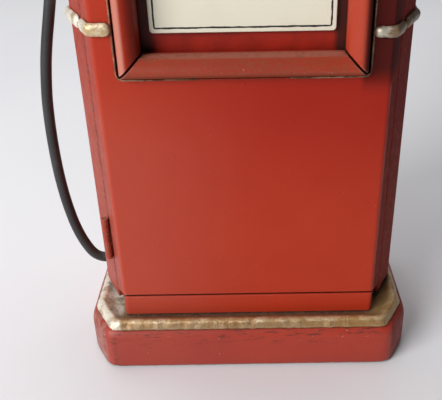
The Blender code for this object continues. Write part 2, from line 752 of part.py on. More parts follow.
def leaf_mesh(side, spans):
    """A hinge leaf with its knuckles, at z = 0. side is +1 at the wall and -1 at the door."""
    inner, outer = LEAF_INNER, LEAF_INNER + LEAF_THICKNESS
    near, far = (inner, outer) if side > 0 else (-outer, -inner)
    leaf = add_cutter("leaf", box_mesh((near, -WALL, 0.0), (far, -0.0002, HINGE_HEIGHT)))
    for low, high in spans:
        weld(leaf, box_mesh((near, -0.0010, low), (far, 0.0012, high)))
        weld(leaf, rod_mesh((0, HINGE_PROUD, low), (0, 0, 1), KNUCKLE_RADIUS, high - low, 12))
    cut(leaf, rod_mesh((0, HINGE_PROUD, -0.001), (0, 0, 1), PIN_HOLE_RADIUS, HINGE_HEIGHT + 0.002, 10))
    return to_mesh(leaf)


def make_hinges(door, side_wall):
    """Two small butt hinges, let into the edges of the left front seam."""
    place = seam_frame()
    spots = [place @ Matrix.Translation((0, 0, z)) for z in HINGE_BOTTOMS]
    third = HINGE_HEIGHT / 3
    side_spans = ((0.0, third - GAP), (2 * third + GAP, HINGE_HEIGHT))
    door_spans = ((third, 2 * third),)
    depth = LEAF_INNER + LEAF_THICKNESS + GAP
    add_copies("hinge_leaf_wall", leaf_mesh(1, side_spans), spots, BRASS)
    add_copies("hinge_leaf_door", leaf_mesh(-1, door_spans), spots, BRASS)
    pin = rod_mesh((0, HINGE_PROUD, 0), (0, 0, 1), PIN_RADIUS, HINGE_HEIGHT, 10)
    add_copies("hinge_pin", pin, spots, STEEL)
    for holder, near, far in ((side_wall, 0.0, depth), (door, -depth, 0.0)):
        for spot in spots:
            slot = box_mesh((near, -WALL - 0.002, -GAP), (far, 0.002, HINGE_HEIGHT + GAP))
            slot.transform(spot)
            cut(holder, slot)


def catch_box(half, front, back, room=0.0):
    """A box centred on the magnet. half is its half width and half height; room is added to both."""
    across, up = half[0] + room, half[1] + room
    return box_mesh((CATCH_X - across, front, CATCH_Z - up), (CATCH_X + across, back, CATCH_Z + up))


def make_catch():
    """A magnetic catch under the shelf, and its strike plate on the door."""
    strike_front = -(BODY_PLAN[1] - WALL) + GAP
    strike_back = strike_front + STRIKE_THICKNESS
    add_part("strike_plate", catch_box(STRIKE_HALF, strike_front, strike_back), STEEL)
    case_front = strike_back + GAP
    magnet_front = case_front + MAGNET_SETBACK
    magnet_back = magnet_front + MAGNET_DEPTH
    case = add_part("catch_case", box_mesh(
        (CATCH_X - CASE_HALF_WIDTH, case_front, CATCH_Z - 0.0050),
        (CATCH_X + CASE_HALF_WIDTH, case_front + CASE_DEPTH, SHELF_BOTTOM - GAP)), BLACK)
    cut(case, catch_box(MAGNET_HALF, strike_front - 0.001, magnet_back + GAP, GAP))
    add_part("catch_magnet", catch_box(MAGNET_HALF, magnet_front, magnet_back), STEEL)


# ---------------------------------------------------------------- hose and nozzle

def in_plane(line):
    """Points of the nozzle's plane from their x and z."""
    return [Vector((x, HOSE_Y, z)) for x, z in line]


def make_hose(side_wall):
    """The hose and the bush where it leaves the left wall."""
    start = HOSE_ROUTE[0]
    wall_inside = -BODY_PLAN[2] + WALL
    cut(side_wall, rod_mesh((wall_inside + 0.001, HOSE_Y, start[1]), (-1, 0, 0),
                            BUSH_RADIUS + GAP, WALL + 0.005, 16))
    bush_start = start[0] + GAP
    bush = rod_mesh((bush_start, HOSE_Y, start[1]), (1, 0, 0), BUSH_RADIUS,
                    wall_inside - 0.0004 - bush_start, 16)
    add_part("hose_bush", bush, RUBBER)
    points = smooth(in_plane(HOSE_ROUTE), 0.0045)
    add_part("hose", tube_mesh(points, HOSE_RADIUS, 3), RUBBER)


def make_fork(side_wall):
    """The fork on the left wall that the nozzle hangs in."""
    face = -BODY_PLAN[2] - GAP
    front = face - FORK_THICKNESS
    top = SHOULDER - GAP
    fork = add_part("nozzle_fork", box_mesh((front, HOSE_Y - FORK_HALF_WIDTH, FORK_BOTTOM),
                                            (face, HOSE_Y + FORK_HALF_WIDTH, top)), STEEL)
    for side in (-1, 1):
        low, high = sorted(side * edge for edge in PRONGS)
        weld(fork, box_mesh((NOZZLE_X - PRONG_REACH, HOSE_Y + low, top - PRONG_HEIGHT),
                            (face - 0.0005, HOSE_Y + high, top)))
    for z in FORK_SCREW_HEIGHTS:
        cut(fork, rod_mesh((face - 0.004, HOSE_Y, z), (1, 0, 0), SMALL_HOLE, 0.008, 10))
        cut(side_wall, rod_mesh((face - 0.001, HOSE_Y, z), (1, 0, 0), SMALL_HOLE, 0.0055, 10))
    screw = screw_mesh(0.0018, 0.0009, SMALL_SHANK, 0.0058)
    spots = [placed((front - 0.0001, HOSE_Y, z), (1, 0, 0)) for z in FORK_SCREW_HEIGHTS]
    add_copies("fork_screw", screw, spots, STEEL)


def make_nozzle():
    """Ferrule, valve body with its lever lugs, and spout."""
    axis = Matrix.Translation((NOZZLE_X, HOSE_Y, 0))
    bottom = HOSE_ROUTE[-1][1] + GAP
    profile = ((0.0, FERRULE_TOP), (0.0044, FERRULE_TOP), (0.0044, 0.2270), (0.0048, 0.2262),
               (0.0048, 0.2218), (0.0044, 0.2210), (0.0040, bottom), (0.0, bottom))
    add_part("nozzle_ferrule", turned_mesh(profile, 20, axis), BRASS)
    bottom = FERRULE_TOP + GAP
    profile = ((0.0, NECK_TOP), (0.0040, NECK_TOP), (0.0048, VALVE_TOP + 0.0010),
               (0.0072, VALVE_TOP), (0.0080, VALVE_TOP - 0.0015), (0.0080, SHOULDER + 0.0010),
               (0.0074, SHOULDER), (0.0050, SHOULDER), (0.0046, 0.2500), (0.0050, 0.2350),
               (0.0047, bottom), (0.0, bottom))
    body = add_part("nozzle_body", turned_mesh(profile, 24, axis), STEEL)
    x, z = LEVER_PIVOT
    for side in (-1, 1):
        low, high = sorted(HOSE_Y + side * edge for edge in (LEVER_HALF + GAP, LUG_OUTSIDE))
        weld(body, box_mesh((x - 0.0022, low, z - 0.0028), (NOZZLE_X - 0.0060, high, z + 0.0028)))
    cut(body, lever_bore())
    add_part("nozzle_spout", tube_mesh(smooth(in_plane(SPOUT_LINE), 0.0050), SPOUT_RADIUS, 3), STEEL)


def lever_bore():
    """The hole for the lever's pin, as a cutter."""
    x, z = LEVER_PIVOT
    return rod_mesh((x, HOSE_Y - 0.010, z), (0, 1, 0), LEVER_BORE, 0.020)


def make_lever():
    """The trigger lever, its pin and the guard round it."""
    x, z = LEVER_PIVOT
    pin_half = LUG_OUTSIDE + GAP
    pin = rod_mesh((x, HOSE_Y - pin_half, z), (0, 1, 0), LEVER_PIN_RADIUS, 2 * pin_half)
    add_part("lever_pin", pin, STEEL)
    line = [Vector(point) for point in LEVER_LINE]
    half = 0.0010
    outline = offset(line, half, closed=False) + offset(line, -half, closed=False)[::-1]
    front, back = HOSE_Y - LEVER_HALF, HOSE_Y + LEVER_HALF
    lever = add_part("trigger_lever", facing_prism_mesh(outline, front, back), STEEL)
    weld(lever, rod_mesh((x, front, z), (0, 1, 0), 0.0021, back - front, 16))
    cut(lever, lever_bore())
    add_part("lever_guard", tube_mesh(smooth(in_plane(GUARD_LINE), 0.0040), GUARD_RADIUS, 1), STEEL)


def shade_round(names):
    """Smooth shading on the round pieces."""
    for name in names:
        mesh = bpy.data.objects[name].data
        mesh.shade_smooth()
        mesh.set_sharp_from_angle(angle=math.radians(35))


def main():
    global parts, cutters
    clear_scene()
    parts = new_collection("pump_cabinet")
    cutters = new_collection("cutters")
    tip = make_plinth()
    decks = make_decks(tip)
    walls = {-1: make_side("side_wall_left", -1), 1: make_side("side_wall_right", 1)}
    make_skirt()
    back = make_back()
    make_back_screws(back, decks)
    make_shelf_cleats()
    door = make_door()
    make_frame()
    make_window_box()
    make_display()
    make_belt()
    make_cap(decks[2])
    make_globe(make_roof(), make_collar())
    make_hinges(door, walls[-1])
    make_catch()
    make_hose(walls[-1])
    make_fork(walls[-1])
    make_nozzle()
    make_lever()
    shade_round(("hose", "hose_bush", "nozzle_body", "nozzle_ferrule", "nozzle_spout", "lever_guard",
                 "globe_ring", "globe_lens_front", "globe_lens_back", "globe_collar", "globe_bolt",
                 "body_screw_1", "back_screw_1", "cap_screw_1", "fork_screw_1", "hinge_pin_1", "lever_pin"))


main()
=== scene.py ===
"""Looks for the fuel-pump shaped cabinet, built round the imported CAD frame. Metres, +Z up."""
import math

import bmesh
import bpy
from mathutils import Matrix, Vector, noise


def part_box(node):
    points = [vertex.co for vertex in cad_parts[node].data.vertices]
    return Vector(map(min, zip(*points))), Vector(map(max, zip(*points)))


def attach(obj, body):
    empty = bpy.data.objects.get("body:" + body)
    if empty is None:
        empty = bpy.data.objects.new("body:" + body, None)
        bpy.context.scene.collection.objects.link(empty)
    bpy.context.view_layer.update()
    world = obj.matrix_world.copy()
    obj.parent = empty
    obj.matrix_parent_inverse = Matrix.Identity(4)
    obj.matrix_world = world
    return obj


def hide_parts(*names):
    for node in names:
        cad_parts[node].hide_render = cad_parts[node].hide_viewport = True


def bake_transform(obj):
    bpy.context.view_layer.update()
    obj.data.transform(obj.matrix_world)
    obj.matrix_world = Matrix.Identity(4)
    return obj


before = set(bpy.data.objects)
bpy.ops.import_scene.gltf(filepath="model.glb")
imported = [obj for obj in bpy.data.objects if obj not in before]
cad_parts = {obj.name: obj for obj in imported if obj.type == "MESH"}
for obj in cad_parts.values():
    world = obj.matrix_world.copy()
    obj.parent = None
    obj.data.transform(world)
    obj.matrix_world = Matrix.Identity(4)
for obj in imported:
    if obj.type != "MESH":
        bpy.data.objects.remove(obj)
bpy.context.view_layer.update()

# The plan of the body and the plinth: front half width, half depth, side half width, side half depth
BODY_PLAN = (0.0690, 0.0500, 0.0846, 0.0190)
SEAM_SHARE = 0.38             # where a seam lies between the front and the flank of a corner face
LEDGE_LAP = 0.0012            # how far the ledge's gold face reaches down over the plinth's shoulder
PLINTH_PLAN = (0.0800, 0.0627, 0.0920, 0.0419)
LEDGE_PLAN = (0.0756, 0.0599, 0.0873, 0.0401)
WALL = 0.0050                 # thickness of the boards
SEAM = 0.0007                 # width of the seams between the side walls, the door and the back
GAP = 0.0003                  # fit between neighbouring pieces
FOOT_LINE = 0.0419            # bottom of the door's front
HOSE_HOLE = 0.0036            # radius of the hose's hole in the left wall
SCREW_HOLE = 0.0013           # radius of a hole for a screw or a pin
CROWN = 0.0040                # how far the cap stands out from the body
FRAME_HALF = 0.0580           # half the display frame's width
FRAME_EDGE = 0.0010           # how far the door's opening is wider than the frame
FACING = Matrix.Rotation(math.pi / 2, 4, "X")   # turns what points up to the front
HOSE_RADIUS = 0.0030
HOSE_Y = -0.0030
NOZZLE_X = -0.0946
# The hose, the spout and the guard as x and z, all at y = HOSE_Y
HOSE_ROUTE = (
    (-0.0867, 0.0365), (-0.0893, 0.0366), (-0.0922, 0.0374), (-0.0948, 0.0391),
    (-0.0969, 0.0416), (-0.0987, 0.0449), (-0.1007, 0.0493), (-0.1028, 0.0553),
    (-0.1050, 0.0640), (-0.1072, 0.0775), (-0.1085, 0.0909), (-0.1091, 0.1039),
    (-0.1092, 0.1164), (-0.1089, 0.1286), (-0.1082, 0.1404), (-0.1069, 0.1517),
    (-0.1052, 0.1628), (-0.1030, 0.1735), (-0.1005, 0.1839), (-0.0981, 0.1940),
    (-0.0962, 0.2030), (-0.0950, 0.2112), (-0.0946, 0.2190),
)
SPOUT_LINE = ((-0.0946, 0.2863), (-0.0946, 0.2930), (-0.0954, 0.3000),
              (-0.0985, 0.3075), (-0.1030, 0.3140), (-0.1080, 0.3195))
GUARD_LINE = ((-0.1041, 0.2800), (-0.1075, 0.2806), (-0.1102, 0.2780), (-0.1111, 0.2700),
              (-0.1112, 0.2550), (-0.1110, 0.2400), (-0.1095, 0.2340), (-0.1060, 0.2318),
              (-0.1008, 0.2316))


# ---------------- camera, floor and light

def make_camera():
    """A view from the front and above, with a small sideways shift."""
    data = bpy.data.cameras.new("camera")
    data.lens = 54.45
    data.sensor_width = 36.0
    data.shift_x = -0.0656
    data.clip_start, data.clip_end = 0.01, 30.0
    camera = bpy.data.objects.new("camera", data)
    turn = (Matrix.Rotation(math.radians(0.12), 4, "Z") @ Matrix.Rotation(math.radians(60.66), 4, "X")
            @ Matrix.Rotation(math.radians(-0.99), 4, "Z"))
    camera.matrix_world = Matrix.Translation((0.0026, -0.3499, 0.2704)) @ turn
    bpy.context.scene.collection.objects.link(camera)
    bpy.context.scene.camera = camera


def area_light(name, place, target, size, power, colour):
    """A square soft light that the camera doesn't see."""
    data = bpy.data.lights.new(name, "AREA")
    data.shape = "SQUARE"
    data.size = size
    data.energy = power
    data.color = colour
    obj = bpy.data.objects.new(name, data)
    obj.location = place
    obj.rotation_euler = (Vector(target) - obj.location).to_track_quat("-Z", "Y").to_euler()
    bpy.context.scene.collection.objects.link(obj)
    obj.visible_camera = False


def make_studio(floor_look):
    """The floor, the faint room light and two soft lights."""
    mesh = bpy.data.meshes.new("floor")
    half = 6.0
    mesh.from_pydata([(-half, -half, 0), (half, -half, 0), (half, half, 0), (-half, half, 0)],
                     [], [(0, 1, 2, 3)])
    floor = bpy.data.objects.new("floor", mesh)
    mesh.materials.append(floor_look)
    bpy.context.scene.collection.objects.link(floor)
    world = bpy.data.worlds.new("studio")
    world.use_nodes = True
    back = world.node_tree.nodes["Background"]
    back.inputs["Color"].default_value = (0.86, 0.87, 0.90, 1)
    back.inputs["Strength"].default_value = 0.095
    bpy.context.scene.world = world
    area_light("key", (-1.72, -1.66, 1.40), (0, 0, 0.12), 1.5, 81.0, (0.99, 0.99, 1.0))
    area_light("top", (-0.28, 0.60, 1.75), (-0.22, 0.40, 0.0), 1.7, 22.5, (0.98, 0.985, 1.0))


# ---------------- materials

class Look:
    """Builds a procedural material round one Principled shader, in row-frame coordinates."""

    def __init__(self, name, roughness, metallic=0.0, specular=0.5, coat=0.0):
        self.made = bpy.data.materials.new(name)
        self.made.use_nodes = True
        self.tree = self.made.node_tree
        self.shader = self.tree.nodes["Principled BSDF"]
        for socket, value in (("Roughness", roughness), ("Metallic", metallic),
                              ("Specular IOR Level", specular), ("Coat Weight", coat),
                              ("Coat Roughness", 0.08)):
            self.shader.inputs[socket].default_value = value
        self.place = self.node("TexCoord").outputs["Object"]
        self.axes = self.node("SeparateXYZ")
        self.plug(self.axes.inputs[0], self.place)

    def plug(self, socket, value):
        """Links a socket to a node's output, or sets its value."""
        if isinstance(value, bpy.types.NodeSocket):
            self.tree.links.new(value, socket)
        elif socket.type == "RGBA" and len(value) == 3:
            socket.default_value = (*value, 1.0)
        else:
            socket.default_value = value

    def node(self, kind, **settings):
        made = self.tree.nodes.new("ShaderNode" + kind)
        for key, value in settings.items():
            setattr(made, key, value)
        return made

    def stretched(self, stretch):
        if stretch is None:
            return self.place
        mapping = self.node("Mapping")
        self.plug(mapping.inputs["Vector"], self.place)
        self.plug(mapping.inputs["Scale"], stretch)
        return mapping.outputs[0]

    def noise(self, scale, detail=3.0, rough=0.5, stretch=None, swirl=0.0):
        made = self.node("TexNoise")
        self.plug(made.inputs["Vector"], self.stretched(stretch))
        self.plug(made.inputs["Scale"], scale)
        self.plug(made.inputs["Detail"], detail)
        self.plug(made.inputs["Roughness"], rough)
        self.plug(made.inputs["Distortion"], swirl)
        return made.outputs[0]

    def spots(self, scale, size, share, stretch=None):
        """1 inside sparse round spots. size is a share of a cell, share how many cells have one."""
        made = self.node("TexVoronoi")
        self.plug(made.inputs["Vector"], self.stretched(stretch))
        self.plug(made.inputs["Scale"], scale)
        random_part = self.node("SeparateColor")
        self.plug(random_part.inputs[0], made.outputs["Color"])
        chosen = self.span(random_part.outputs[0], 1 - share, 1 - share + 0.02)
        return self.math("MULTIPLY", self.span(made.outputs["Distance"], size, size * 0.4), chosen)

    def span(self, value, low, high, start=0.0, end=1.0):
        """A smooth step from start, where the value is low, to end, where it is high."""
        made = self.node("MapRange", interpolation_type="SMOOTHSTEP")
        for key, item in (("Value", value), ("From Min", low), ("From Max", high),
                          ("To Min", start), ("To Max", end)):
            self.plug(made.inputs[key], item)
        return made.outputs[0]

    def along(self, axis, low, high, end=1.0):
        """A ramp along axis 0, 1 or 2 of the row frame, from 0 at low to end at high."""
        return self.span(self.axes.outputs[axis], low, high, 0.0, end)

    def math(self, operation, a, b=0.0):
        made = self.node("Math", operation=operation, use_clamp=True)
        self.plug(made.inputs[0], a)
        self.plug(made.inputs[1], b)
        return made.outputs[0]

    def mix(self, share, a, b):
        """Colour a, or b as far as the share says."""
        made = self.node("Mix", data_type="RGBA")
        self.plug(made.inputs[0], share)
        self.plug(made.inputs[6], a)
        self.plug(made.inputs[7], b)
        return made.outputs[2]

    def bump(self, height, strength, distance, under=None):
        made = self.node("Bump")
        self.plug(made.inputs["Height"], height)
        self.plug(made.inputs["Strength"], strength)
        self.plug(made.inputs["Distance"], distance)
        if under is not None:
            self.plug(made.inputs["Normal"], under)
        return made.outputs[0]

    def edges(self, radius, low, high):
        """1 on convex and concave edges, from the difference a small rounding makes."""
        rounded = self.node("Bevel", samples=6)
        self.plug(rounded.inputs["Radius"], radius)
        plain = self.node("NewGeometry").outputs["Normal"]
        dot = self.node("VectorMath", operation="DOT_PRODUCT")
        self.plug(dot.inputs[0], rounded.outputs[0])
        self.plug(dot.inputs[1], plain)
        return self.span(dot.outputs["Value"], 1 - low, 1 - high)

    def crevice(self, distance, low, high):
        """1 in crevices: the share of the nearby space that is blocked, between low and high."""
        made = self.node("AmbientOcclusion", samples=8)
        self.plug(made.inputs["Distance"], distance)
        return self.span(made.outputs["AO"], 1 - low, 1 - high)

    def times(self, *shares):
        """The product of several shares."""
        product = shares[0]
        for share in shares[1:]:
            product = self.math("MULTIPLY", product, share)
        return product

    def over(self, colour, *shares):
        """Lays a colour over what is there, as far as the product of the shares says."""
        self.colour = self.mix(self.times(*shares), self.colour, colour)

    def finish(self, normal, roughness=None, metallic=None):
        """Plugs the colour and the rest into the shader and gives the material."""
        for name, value in (("Base Color", self.colour), ("Normal", normal), ("Roughness", roughness),
                            ("Metallic", metallic)):
            if value is not None:
                self.plug(self.shader.inputs[name], value)
        return self.made


SOOT = (0.070, 0.020, 0.014)
SEAM_DIRT = (0.030, 0.012, 0.008)
# dark antiquing colour, also used for painted shade on the right corner and for the display frame's painted
# shadow
ANTIQUING_AND_SHADE = (0.036, 0.003, 0.002)
SHORT = 0.0015                # length of a ramp from one paint to the next
FRONT_FACES = (-0.018, -0.021)   # where the front corner faces begin, along y


def front_antiquing_and_shade(look, corner_x, corner_antiquing_and_shade, faces):
    """Where dark antiquing and painted shade lie: mottled on the front corner faces, the right ones most as
    painted shade, and a painted shadow of the display frame on the band to its right.
    """
    # painted shade: the right corner faces take the full amount over mottled dark antiquing, the left ones
    # under half
    right = look.times(look.along(0, corner_x, corner_x + SHORT, corner_antiquing_and_shade), faces)
    left = look.times(look.along(0, -corner_x, -corner_x - SHORT, corner_antiquing_and_shade * 0.45), faces)
    mottle = look.span(look.noise(240, 5, 0.7), 0.34, 0.58, 0.76, 1.0)
    # painted shadow of the display frame on the band to its right, fading towards the top
    frame_shadow = look.times(look.along(0, 0.0540, 0.0572, 0.90), look.along(2, 0.156, 0.172),
                       look.along(2, 0.310, 0.225), look.along(1, -0.030, -0.046))
    return look.math("MAXIMUM", look.times(look.math("MAXIMUM", right, left), mottle), frame_shadow)


def scatter_chips(look, share):
    """Small pale and dark chips all over, and more of them near the edges."""
    look.over((0.50, 0.30, 0.25), look.spots(420, 0.20, 0.045), share)
    look.over((0.08, 0.016, 0.010), look.spots(360, 0.22, 0.06, (1.0, 1.2, 0.9)), share)
    rim = look.times(look.edges(0.0034, 0.003, 0.05), share)
    specks = look.noise(1500, 2, 0.5)
    look.over((0.52, 0.34, 0.28), look.span(specks, 0.60, 0.66), rim)
    look.over((0.10, 0.022, 0.014), look.span(specks, 0.42, 0.34), rim)


def red_paint(name, specular=0.20, bright=(0.43, 0.034, 0.010), deep=(0.37, 0.024, 0.007),
              wear_and_sheen=(0.46, 0.20, 0.15), bare=(0.24, 0.085, 0.045), bare_share=0.0, wear=0.45, dirt=0.8,
              chips=0.18, corner_x=BODY_PLAN[0], rubbed=0.20, corner_antiquing_and_shade=0.56, sheen=0.13, streaks=0.0,
              left_member_highlight=0.0, shade_upper_right=0.85, member=None):
    """Hand-brushed satin red, rubbed pale at the edges, with dirt in the seams, dark antiquing and painted
    light.

    corner_x is where the front corner faces begin. glaze darkens them as dark antiquing, the right one
    most as painted shade, and rubbed pales the left one as painted sheen mottled like rubbed wear.
    sheen pales the lower left as painted sheen, deepen darkens the upper right as painted shade,
    streaks scuffs the plinth, left_member_highlight gives the frame's left member a painted highlight on its
    outer slope and painted shade on its inner one, and member gives the bottom member's heights,
    for a pale line along its top as a painted highlight and a darker brown band below it. The band
    right of the display frame takes a painted shadow of the frame.
    """
    look = Look(name, 0.46, specular=specular)
    patch = look.noise(75, 4, 0.6)
    grain = look.noise(1.0, 3, 0.6, (1700, 1700, 480))
    line = look.noise(1.0, 5, 0.7, (95, 95, 700), 0.3)
    faces = look.along(1, *FRONT_FACES)

    # the brushed coat in uneven tones, with painted shade towards the top right and painted sheen towards
    # the lower left
    look.colour = look.mix(look.span(look.noise(13, 3), 0.30, 0.70, 0.45, 1.0), deep, bright)
    look.over(deep, look.span(patch, 0.5, 0.75), 0.16)
    look.over(wear_and_sheen, look.span(grain, 0.52, 0.72), 0.05)
    look.over(deep, look.span(grain, 0.48, 0.28), 0.12)
    # painted shade: darker red towards the top right
    look.over((0.30, 0.009, 0.002), look.along(2, 0.085, 0.165), look.along(0, -0.10, 0.04, shade_upper_right))
    # painted sheen: paler towards the lower left
    look.over(wear_and_sheen, look.along(0, 0.02, -0.066, sheen), look.along(2, 0.180, 0.120))
    # painted highlight on the left member's outer slope, partly rubbed wear, and painted shade on its inner
    # slope
    if left_member_highlight:
        look.over(wear_and_sheen, look.along(0, -0.0532, -0.0550, left_member_highlight))
        look.over((0.040, 0.004, 0.003), look.along(0, -0.0532, -0.0485, 0.60))
    # a pale line along the bottom member's top edge as a painted highlight, and a darker brown band low on
    # its face
    if member:
        low, high = member
        look.over(wear_and_sheen, look.along(2, high - 0.0013, high - 0.0004, 0.35))
        look.over(bare, look.along(2, low + 0.0044, low + 0.0006, 0.60))
    # painted sheen on the left corner faces and the left side, mottled like rubbed wear
    look.over(wear_and_sheen, look.along(0, -corner_x, -corner_x - SHORT, rubbed),
              look.span(look.noise(210, 5, 0.7), 0.38, 0.60))

    # dark antiquing on the front corner faces, with painted shade on the right one and the display frame's
    # painted shadow
    dark_coat_and_shade = front_antiquing_and_shade(look, corner_x, corner_antiquing_and_shade, faces)
    look.over(ANTIQUING_AND_SHADE, dark_coat_and_shade)

    # scuffs under the plinth's upper edge, and soot along the left seam
    band = look.times(look.along(2, 0.0120, 0.0225, streaks), look.along(2, 0.0264, 0.0254))
    look.over(SOOT, look.span(line, 0.55, 0.62), band)
    look.over((0.46, 0.22, 0.16), look.span(line, 0.36, 0.30), band)
    look.over(SOOT, look.along(0, -0.0732, -0.0745), look.along(0, -0.0774, -0.0758), faces,
              look.span(line, 0.47, 0.58, 0.0, 0.6))

    # bare blotches, rubbed edges and dirty seams
    look.over(bare, look.span(look.noise(420, 5, 0.75), 0.50, 0.62), bare_share)
    look.over(wear_and_sheen, look.edges(0.0010, 0.012, 0.10), look.span(patch, 0.35, 0.6, 0.25, wear))
    look.over(SEAM_DIRT, look.crevice(0.0040, 0.42, 0.80), look.span(patch, 0.25, 0.6, 0.65, dirt))
    scatter_chips(look, chips)

    normal = look.bump(grain, 0.06, 0.0002)
    normal = look.bump(look.noise(1700, 3, 0.6), 0.10, 0.0002, normal)
    normal = look.bump(look.spots(170, 0.22, 0.14), 0.4, 0.0002, normal)
    satin = look.span(patch, 0.3, 0.7, 0.40, 0.54)
    return look.finish(normal, look.math("MAXIMUM", satin, look.span(dark_coat_and_shade, 0.1, 0.6, 0.4, 0.85)))


def recess_paint(name):
    """Deep red, darker at both sides of the display recess as painted shade, and darker in its corners."""
    look = Look(name, 0.5, specular=0.25)
    dark_coat_and_shade = (0.030, 0.008, 0.005)
    look.colour = look.mix(look.span(look.noise(90, 4, 0.6), 0.35, 0.65), (0.24, 0.012, 0.004),
                           (0.33, 0.016, 0.006))
    # painted shade at both sides of the recess
    look.over(dark_coat_and_shade, look.math("MAXIMUM", look.along(0, 0.0415, 0.0450, 0.88),
                              look.along(0, -0.0405, -0.0450, 0.85)))
    look.over(dark_coat_and_shade, look.crevice(0.005, 0.35, 0.80))
    return look.finish(look.bump(look.noise(900, 3), 0.1, 0.0002))


def gold_paint(name, dirt=0.97, crest=(0.84, 0.74, 0.52), brown=(0.40, 0.23, 0.085),
               pale=(0.66, 0.53, 0.33)):
    """Champagne gold over a lumpy casting, rubbed back on the crests and brown in the hollows."""
    look = Look(name, 0.36, metallic=0.35, specular=0.6)
    patch = look.noise(130, 4, 0.65)
    fine = look.noise(1100, 4, 0.7)
    look.colour = look.mix(look.span(patch, 0.36, 0.62), brown, pale)
    look.over((0.27, 0.13, 0.045), look.span(fine, 0.52, 0.68), 0.6)
    look.over(crest, look.edges(0.0016, 0.006, 0.09), look.span(patch, 0.3, 0.6, 0.6, 0.95))

    # the ledge: browner just below its crest, darker brown to the right as painted shade, dirty hollows, and
    # pale cream at the left as a painted highlight
    look.over((0.26, 0.135, 0.048), look.along(2, 0.0298, 0.0289, 0.74))
    # painted shade: darker brown towards the right
    look.over((0.42, 0.22, 0.06), look.along(0, 0.0, 0.070, 0.40), look.along(2, 0.060, 0.045))
    soil = look.times(look.crevice(0.0052, 0.16, 0.46),
                      look.span(look.noise(300, 4, 0.7), 0.3, 0.55, 0.85, dirt))
    look.over(look.mix(look.span(look.noise(420, 4, 0.7), 0.42, 0.60), (0.040, 0.017, 0.010),
                       (0.125, 0.055, 0.032)), soil)
    # painted highlight: pale cream at the left end
    look.over((0.93, 0.87, 0.73), look.along(0, -0.0700, -0.0735, 0.85),
              look.span(patch, 0.36, 0.56, 0.3, 1.0))
    look.over((0.060, 0.028, 0.016), look.spots(700, 0.30, 0.24), 0.75)
    # painted glints: golden specks in the dirt
    look.over((0.62, 0.42, 0.16), look.spots(640, 0.26, 0.16, (1.1, 0.9, 1.0)), soil, 0.8)

    # the belt's right end: dark brown as painted shade, with a pale patch in its middle as a painted
    # reflection
    belt = look.along(2, 0.10, 0.15)
    look.over((0.13, 0.065, 0.030), look.along(0, 0.0560, 0.0600, 0.85), belt)
    look.over((0.50, 0.45, 0.36), look.along(0, 0.0600, 0.0612), look.along(0, 0.0680, 0.0662), belt,
              look.span(patch, 0.42, 0.56))
    normal = look.bump(fine, 0.5, 0.0005, look.bump(patch, 0.6, 0.0008))
    return look.finish(normal, look.span(soil, 0.1, 0.9, 0.32, 0.75),
                       look.span(soil, 0.2, 0.8, 0.35, 0.05))


def rubbed_line(name):
    """Olive-brown where paint and primer have been rubbed off an edge."""
    look = Look(name, 0.6, specular=0.2)
    look.colour = look.mix(look.span(look.noise(160, 4, 0.7), 0.38, 0.62), (0.10, 0.055, 0.032),
                           (0.34, 0.22, 0.13))
    return look.finish(look.bump(look.noise(900, 3), 0.2, 0.0002))


def cream_enamel(name):
    """Aged cream enamel with a brown rim."""
    look = Look(name, 0.42)
    broad = look.noise(30, 4, 0.6)
    fine = look.noise(420, 4, 0.65)
    look.colour = look.mix(look.times(look.span(broad, 0.45, 0.75), 0.30), (0.75, 0.71, 0.56),
                           (0.62, 0.57, 0.42))
    look.over((0.30, 0.22, 0.12), look.spots(210, 0.14, 0.10), 0.5)
    look.over((0.16, 0.12, 0.07), look.crevice(0.003, 0.35, 0.75), 0.8)
    look.over((0.42, 0.36, 0.24), look.edges(0.0008, 0.02, 0.15), look.span(fine, 0.4, 0.6, 0.1, 0.6))
    return look.finish(look.bump(fine, 0.12, 0.0003), look.span(broad, 0.3, 0.7, 0.36, 0.5))


def rubber(name):
    """Smooth black hose rubber with a little dust."""
    look = Look(name, 0.46)
    fine = look.noise(900, 3, 0.6)
    dust = look.span(look.noise(55, 5, 0.7), 0.42, 0.72, 0.0, 0.5)
    look.colour = look.mix(dust, (0.020, 0.019, 0.019), (0.055, 0.050, 0.046))
    return look.finish(look.bump(fine, 0.15, 0.0003), look.span(fine, 0.3, 0.7, 0.40, 0.54))


def black_gloss(name, roughness=0.30):
    """Black lacquer or plastic."""
    look = Look(name, roughness)
    fine = look.noise(300, 3)
    look.colour = look.mix(look.span(fine, 0.4, 0.7), (0.012, 0.012, 0.013), (0.030, 0.028, 0.026))
    return look.finish(look.bump(fine, 0.05, 0.0003), look.span(fine, 0.3, 0.7, roughness, 0.45))


def metal(name, base, tarnish):
    """Brushed metal, tarnished in patches and dark in its grooves."""
    smoothest = 0.34
    look = Look(name, smoothest, metallic=1.0)
    patch = look.noise(120, 4, 0.65)
    look.colour = look.mix(look.span(patch, 0.45, 0.75, 0.0, 0.75), base, tarnish)
    look.over((0.03, 0.025, 0.02), look.crevice(0.002, 0.35, 0.8), 0.8)
    return look.finish(look.bump(look.noise(1.0, 4, 0.6, (60, 60, 900)), 0.15, 0.0002),
                       look.span(patch, 0.3, 0.75, smoothest, smoothest + 0.25))


def board(name):
    """Fibreboard with a stained, slightly furry face."""
    look = Look(name, 0.75, specular=0.3)
    grain = look.noise(1.0, 5, 0.6, (25, 340, 340), 0.4)
    fibre = look.noise(700, 4, 0.7)
    look.colour = look.mix(look.span(grain, 0.35, 0.65), (0.16, 0.085, 0.045), (0.27, 0.165, 0.095))
    look.over((0.10, 0.055, 0.03), look.span(fibre, 0.5, 0.75, 0.0, 0.5))
    look.over((0.045, 0.025, 0.015), look.crevice(0.010, 0.4, 0.9))
    return look.finish(look.bump(fibre, 0.25, 0.0004))


